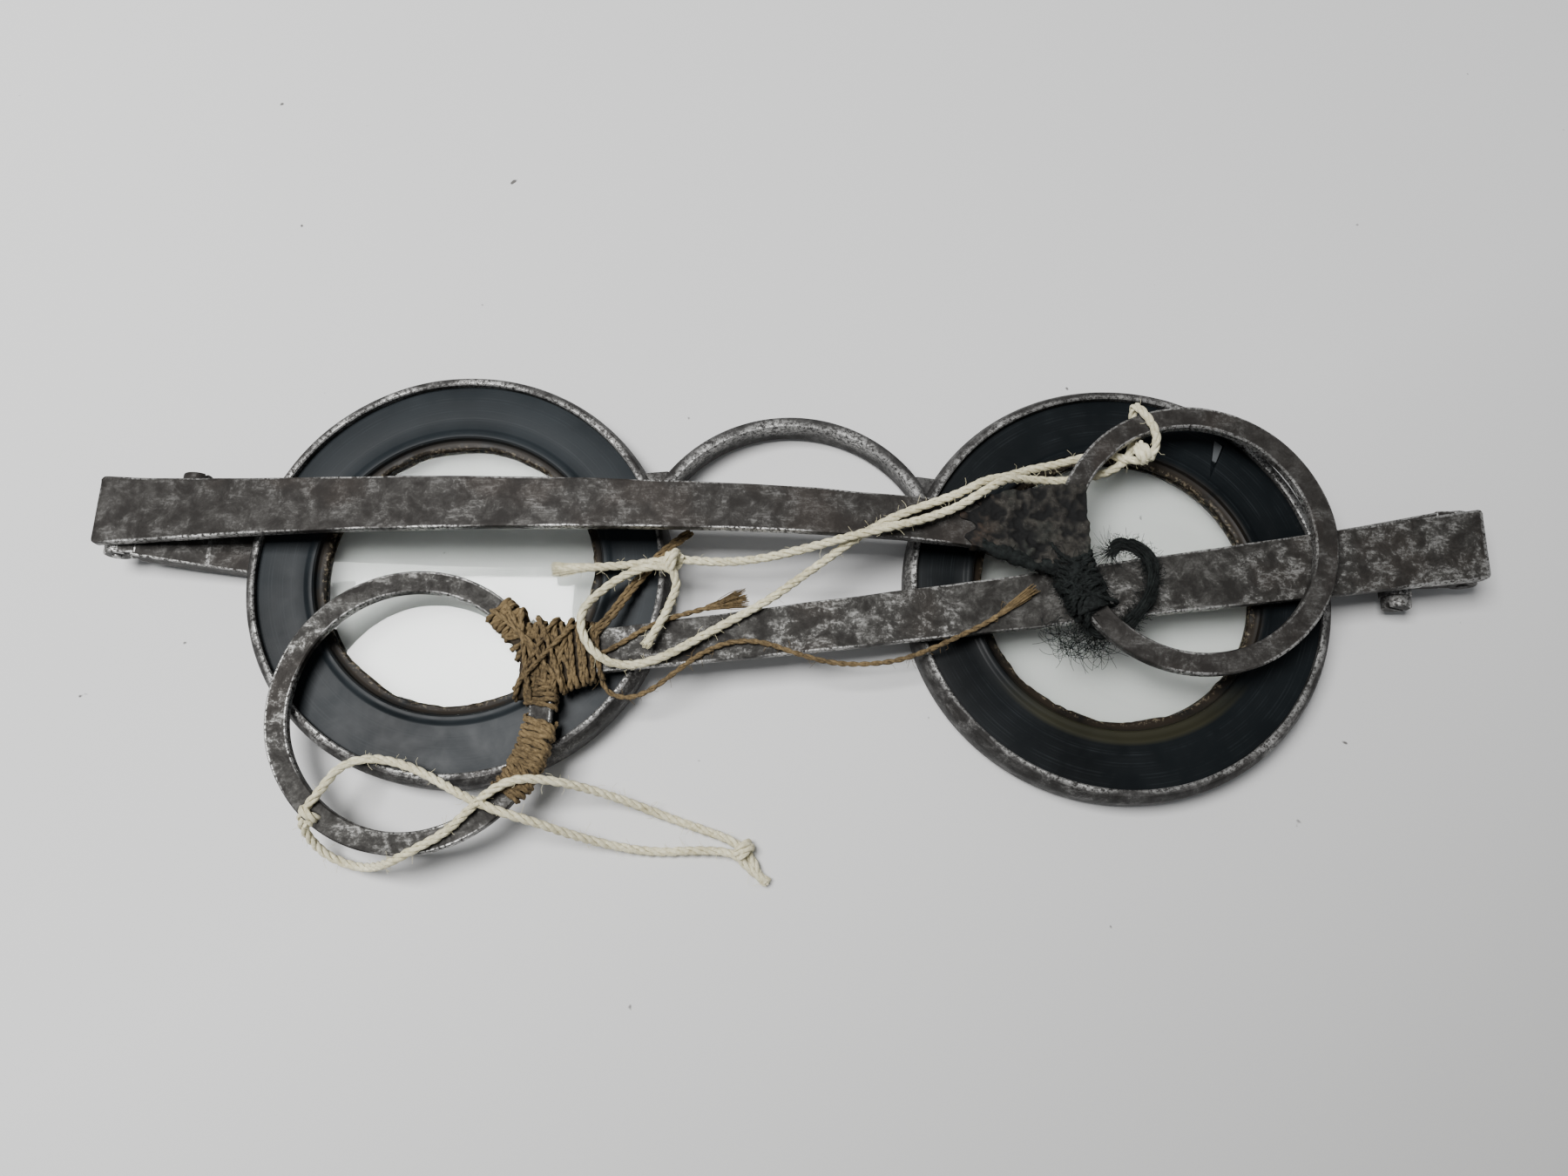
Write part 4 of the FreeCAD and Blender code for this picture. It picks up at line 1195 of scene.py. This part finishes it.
def core(ring, start, stop, gap, seed):
    """A rough sleeve under the thread."""
    rx, ry, rz = ring
    zl, zh = rz - gap, rz + SIDE_T + gap
    section = [(RING_IN - gap + 0.15, zl), (RING_OUT + gap - 0.15, zl),
               (RING_OUT + gap, zl + 0.15), (RING_OUT + gap, zh - 0.15),
               (RING_OUT + gap - 0.15, zh), (RING_IN - gap + 0.15, zh),
               (RING_IN - gap, zh - 0.15), (RING_IN - gap, zl + 0.15)]
    bm = spun(section, rx, ry, start, stop - start, 40)
    for v in bm.verts:
        v.co += v.normal * 0.08 * MM * noise.noise(v.co * 1500 + Vector((seed, 0, 0)))
    return as_mesh(bm)


def outline_core(stations, low, high):
    """A rough slab that fills the fork between strip and ring."""
    top = [(x, y + w / 2) for x, y, w in stations]
    bottom = [(x, y - w / 2) for x, y, w in reversed(stations)]
    return as_mesh(prism(top + bottom, low, high, 0.25))


# %% Linen on the lower side
rnd = random.Random(21)
junction = []
piece("linen_junction_core", [
    core(LOWER_RING, 6, 53, 0.1, 1),
    outline_core([(-16.7, -7.55, 4.1), (-20.0, -8.1, 5.2), (-23.6, -9.0, 6.4)],
                 STRIP_Z - 0.1, STRIP_Z + SIDE_T + 0.1)],
      linen_deep_shade, "right_side_body", (), 60)
lines = [wound_on_ring(LOWER_RING, 30, 53, 11, 0.33, 2, 4.0),
         wound_on_ring(LOWER_RING, 3, 17, 7, 0.33, 3, 3.0),
         wound_on_ring(LOWER_RING, -7, 4, 1, 0.28, 17, 1.0)]
for k in range(12):
    x = -23.0 + 0.58 * k
    y = eased_value([(-24, -9.0, 0), (-20, -8.1, 0), (-16, -7.5, 0)], x, 1)
    half = eased_value([(-24, 3.5, 0), (-20, 3.1, 0), (-16, 2.35, 0)], x, 1)
    lines.append(wound_across((x, y), math.radians(99 + rnd.uniform(-5, 5)), half,
                              40 + k, 0.28 + 0.14 * (k % 2)))
CROSSING = [
    (-23.4, -6.9, 118, 3.9), (-22.6, -7.4, 132, 4.2), (-22.2, -8.4, 66, 4.0),
    (-23.0, -8.2, 100, 4.3), (-20.8, -8.0, 112, 3.6), (-21.4, -8.4, 50, 3.8),
    (-19.8, -8.0, 80, 3.3), (-23.9, -6.2, 140, 3.2), (-20.2, -7.9, 124, 3.4)]
for k, (x, y, degrees, half) in enumerate(CROSSING):
    proud = 0.66 + 0.05 * k if x < -20.5 else 0.5
    lines.append(wound_across((x, y), math.radians(degrees), half, 70 + k, 0.5,
                              STRIP_Z - 0.45, STRIP_Z + SIDE_T + proud))
junction.append(threads(lines, LINEN_R, LINEN_LAY, 100))
short_ends = [
    [(-17.2, -5.9, 6.2), (-16.0, -4.4, 5.9), (-14.8, -2.0, 4.9), (-13.2, 0.3, 4.5),
     (-11.6, 2.4, 4.5), (-9.2, 4.2, 4.7)],
    [(-17.2, -8.4, 6.2), (-14.8, -7.1, 6.2), (-12.6, -5.5, 6.2), (-10.3, -4.5, 6.2),
     (-8.0, -3.8, 6.2), (-6.0, -3.2, 6.2)]]
short_ends.append([(x + 0.35, y - 0.25, z + 0.05) for x, y, z in short_ends[0]])
end_lines = [route_line(end) for end in short_ends]
junction.append(threads(end_lines, LINEN_R, LINEN_LAY, 300))
junction.append(brush(end_lines[1], 1.2, 2.6, 0.2, 0.95, 150, 31, 0.04))
junction.append(brush(linen_line, 1.4, 2.6, 0.2, 0.55, 90, 32, 0.04))
piece("linen_junction_winding", junction, linen, "right_side_body",
      ["linen_junction_binding"], 60)

lower_lines = [wound_on_ring(LOWER_RING, -38, -4, 17, 0.27, 5, 2.2),
               wound_on_ring(LOWER_RING, -37, -6, 11, 0.42, 6, 4.0)]
piece("linen_ring_winding", [threads(lower_lines, LINEN_R, LINEN_LAY, 400)],
      linen, "right_side_body", ["linen_ring_binding"], 60)
piece("linen_ring_core", [core(LOWER_RING, -37, -5, 0.1, 4)], linen_deep_shade,
      "right_side_body", (), 60)

# %% [markdown]
# ## Silk remains
# On the upper side the old binding was black silk.  It has rotted to a crust
# on the flare, a matted lump on the ring, and one frayed end that lies across
# the lower strip.  The crust is a rough shell pushed in and out by noise.

# %% Silk
def crust():
    """A thin rough shell over the flare, with a hem on its near edge."""
    stations = [(16.3, 4.45, 4.3), (18.5, 4.4, 5.3), (23.0, 4.35, 7.3), (26.4, 4.2, 8.2)]
    bm = bmesh.new()
    bmesh.ops.create_grid(bm, x_segments=84, y_segments=64, size=1.0)
    for v in bm.verts:
        along, across = (v.co.x + 1) / 2, v.co.y
        x = 16.2 + 10.6 * along + 1.5 * (1 - along) * noise.noise(
            Vector((across * 2.3, 4.0, 1.0)))
        width = eased_value(stations, x, 2)
        v.co = at(x, eased_value(stations, x, 1) + across * width / 2,
                  eased_value(UPPER_BOW, x, 1) - 0.14)
    lifted(bm, (0, 0, SIDE_T + 0.36))
    bm.normal_update()
    lift = bm.verts.layers.float.new("lift")
    for v in bm.verts:
        rough = (0.4 * noise.noise(v.co * 420) + 0.5 * noise.noise(v.co * 1000)
                 + 0.35 * noise.noise(v.co * 2300))
        hem = max(0.0, 1.0 - (v.co.y / MM - SHIFT_Y - 0.2) / 1.6)
        if v.co.y / MM - SHIFT_Y < 0.4 + 0.02 * v.co.x / MM:
            v.co += v.normal * MM * 0.5 * abs(noise.noise(v.co * 300))
        v[lift] = min(max(0.5 + 0.9 * rough, 0.0), 1.0)
        v.co += v.normal * MM * (0.10 + 0.46 * rough * (1.0 + 0.6 * min(hem, 1.0)))
    return as_mesh(bm)


silk_crust, crust_shader, crust_where = fresh_material("silk_crust")
crust_tree = silk_crust.node_tree
blotch = noise_of(crust_where, 800.0, 7.0, 0.74, 0.4)
tone = noise_of(crust_where, 170.0, 4.0, 0.6)
grains = noise_of(crust_where, 2300.0, 5.0, 0.75)
crust_colour = mixed(ramp(blotch, 0.42, 0.58), (0.015, 0.0135, 0.012),
                     (0.036, 0.033, 0.028))
crust_colour = mixed(ramp(tone, 0.50, 0.64, 0.0, 0.55), crust_colour,
                     (0.012, 0.018, 0.016))
crust_colour = mixed(ramp(grains, 0.56, 0.70, 0.0, 0.6), crust_colour,
                     (0.085, 0.080, 0.070))
reach = put(crust_tree, "SeparateXYZ", {0: crust_where}).outputs["X"]
brown_end = times(ramp(reach, 0.0190, 0.0168), ramp(blotch, 0.40, 0.6, 0.0, 0.8))
crust_colour = mixed(brown_end, crust_colour, (0.040, 0.022, 0.014))
# painted shade: the low hollows of the crust are darkened nearly to black
hollow_shade_height = put(crust_tree, "Attribute", attribute_name="lift").outputs["Fac"]
crust_colour = mixed(ramp(hollow_shade_height, 0.62, 0.34), crust_colour,
                     (0.006, 0.006, 0.006))
dress(crust_shader, Base_Color=crust_colour, Specular_IOR_Level=0.2, Roughness=0.82)
bumped(crust_shader, maths("ADD", blotch, grains), 0.00008, 0.8)
piece("silk_crust_on_flare", [crust()], silk_crust, "left_side_body",
      ["silk_binding"], 60)


# %% Silk lump on the ring
def lumpy(line, radius, seed, flatten=1.0):
    """A matted mass round a line, swollen unevenly."""
    bm = as_bmesh(tubes([spaced(line, 0.1 * MM)], radius * MM, 4))
    bmesh.ops.remove_doubles(bm, verts=bm.verts, dist=1e-6)
    bm.normal_update()
    shift = Vector((seed * 1.7, seed * 0.3, 0.0))
    for v in bm.verts:
        push = (0.9 * noise.noise(v.co * 420 + shift) + 0.5 * noise.noise(v.co * 1000)
                + 0.3 * noise.noise(v.co * 2400))
        v.co += v.normal * radius * MM * (0.75 * push)
    middle = sum((v.co.z for v in bm.verts)) / len(bm.verts)
    for v in bm.verts:
        v.co.z = middle + (v.co.z - middle) * flatten
    return as_mesh(bm)


LAID_Z, GIVE = STRIP_Z + SIDE_T + 0.03, 0.3


def laid_on_lower_side(mesh):
    """Whatever hangs into the lower side is pressed flat just above it."""
    for v in mesh.vertices:
        x, y = v.co.x / MM, v.co.y / MM - SHIFT_Y
        half = eased_value(LOWER_STATIONS, x, 2) / 2 + 0.4
        deep = v.co.z / MM - LAID_Z - GIVE
        if deep < 0.0 and abs(y - eased_value(LOWER_STATIONS, x, 1)) < half:
            v.co.z = (LAID_Z + GIVE * math.exp(deep / GIVE)) * MM
    return mesh


silk_lines = [wound_on_ring(UPPER_RING, 190, 217, 20, 0.2, 11, 5.0),
              wound_on_ring(UPPER_RING, 192, 214, 18, 0.5, 12, 10.0),
              wound_on_ring(UPPER_RING, 195, 211, 14, 0.8, 14, 16.0)]
lump = [core(UPPER_RING, 190, 216, 0.3, 9), threads(silk_lines, 0.2, 1.0, 500)]
hem_line = route_line([
    (17.2, 2.5, 8.2), (18.6, 1.9, 8.1), (20.4, 1.5, 8.0), (21.8, 0.7, 8.0),
    (23.2, 0.6, 7.9), (24.6, -0.2, 7.7), (25.4, -1.2, 7.4)])
clot_line = route_line([
    (25.2, 0.6, 7.9), (25.8, -0.6, 7.9), (26.4, -2.0, 7.9), (26.9, -3.4, 7.8)])
lump += [lumpy(hem_line, 0.66, 3, 0.8), lumpy(clot_line, 1.5, 5, 0.66)]
lump.append(fuzz(spaced(hem_line, 0.2 * MM), 0.4, 160, 0.8, 59, 0.018))
for k, line in enumerate(silk_lines):
    lump.append(fuzz(spaced(line, 0.3 * MM), 0.2, 420, 1.1, 60 + k, 0.02))
lump = [laid_on_lower_side(part) for part in lump]
piece("silk_lump_on_ring", lump, silk, "left_side_body", (), 60)

# %% Silk's loose end
SILK_TAIL = [(26.4, -3.2, 6.4), (27.0, -5.2, 6.2), (29.6, -5.0, 6.3),
             (31.8, -2.8, 6.4), (32.9, -0.6, 6.4), (32.9, 1.6, 6.4), (31.6, 3.0, 6.4),
             (29.8, 3.4, 6.4), (29.1, 2.4, 6.4)]
tail_line = spaced(route_line(SILK_TAIL), 0.2 * MM)
rnd = random.Random(77)
strands = []
for k in range(64):
    off = Vector((rnd.uniform(-1, 1), rnd.uniform(-1, 1), rnd.uniform(-0.35, 0.9)))
    start, stop = rnd.randint(0, 14), len(tail_line) - rnd.randint(0, 9)
    strands.append([p + off * MM * (0.36 + 0.4 * abs(noise.noise(p * 300 + off)))
                    + Vector((noise.noise(p * 500 + off * 9),
                              noise.noise(p * 520 - off * 7), 0)) * 0.18 * MM
                    for p in tail_line[start:stop:2]])
tail_parts = [tubes(strands, 0.085 * MM, 1),
              fuzz(tail_line, 0.6, 700, 1.3, 78, 0.018),
              fray(tail_line[-1], (tail_line[-1] - tail_line[-6]).normalized(), 90, 2.4,
                   0.8, 79, 0.022)]
curls = []
for k in range(150):
    p = at(24.2 + rnd.uniform(0, 4.0), -5.4 + rnd.uniform(-0.8, 0.8), 6.1)
    curl, turn_by, angle = [p], rnd.uniform(-0.9, 0.9), rnd.uniform(3.4, 6.0)
    for _ in range(12):
        angle += turn_by * 0.5
        p = p + Vector((math.cos(angle), math.sin(angle), rnd.uniform(-0.35, 0.2))) \
            * 0.22 * MM
        curl.append(p)
    curls.append(curl)
tail_parts.append(tubes(curls, 0.018 * MM, 0))
tail_parts = [laid_on_lower_side(part) for part in tail_parts]
piece("silk_loose_end", tail_parts, silk, "left_side_body", ["silk_tail"],
      60)

# %% [markdown]
# ## Table and light
# The spectacles lie on pale paper, darkened towards one near corner by a painted
# shadow and dusted with a few specks.  One soft lamp hangs overhead to the left and
# shines straight down, and a pale sky fills the shadows.

# %% Paper
paper, paper_shader, paper_where = fresh_material("pale_paper")
paper_colour = mixed(ramp(noise_of(paper_where, 6.0, 3.0, 0.5), 0.3, 0.7),
                     (0.66, 0.658, 0.655), (0.70, 0.698, 0.69))
paper_place = put(paper.node_tree, "SeparateXYZ", {0: paper_where}).outputs
# painted shadow: the paper is darkened towards the near right corner
painted_shadow_slope = maths("SUBTRACT", times(paper_place["X"], 0.6), paper_place["Y"])
paper_colour = mixed(ramp(painted_shadow_slope, 0.005, 0.095), paper_colour, (0.42, 0.417, 0.41))
dust = noise_of(paper_where, 420.0, 2.0, 0.5)
paper_colour = mixed(ramp(dust, 0.755, 0.775), paper_colour, (0.12, 0.115, 0.11))
dress(paper_shader, Base_Color=paper_colour, Roughness=0.75, Specular_IOR_Level=0.2)
bumped(paper_shader, noise_of(paper_where, 900.0, 4.0, 0.6), 0.00003, 0.3)
sheet_bm = bmesh.new()
bmesh.ops.create_grid(sheet_bm, x_segments=1, y_segments=1, size=0.6)
table = shown("paper", as_mesh(sheet_bm, "paper"))
table.data.materials.append(paper)

# %% Light
LAMP_AT, LAMP_SIZE, LAMP_POWER = (-0.145, 0.035, 0.40), (0.20, 0.15), 3.2
lamp_data = bpy.data.lights.new("overhead", "AREA")
lamp_data.shape = "RECTANGLE"
lamp_data.size, lamp_data.size_y = LAMP_SIZE
lamp_data.energy = LAMP_POWER
lamp = bpy.data.objects.new("overhead", lamp_data)
bpy.context.scene.collection.objects.link(lamp)
lamp.location = LAMP_AT
lamp.rotation_euler = Vector((0, 0, -1)).to_track_quat("-Z", "Y").to_euler()
world = bpy.data.worlds.new("soft_room")
world.use_nodes = True
dress(world.node_tree.nodes["Background"], Color=(0.93, 0.96, 1.0, 1), Strength=0.24)
bpy.context.scene.world = world
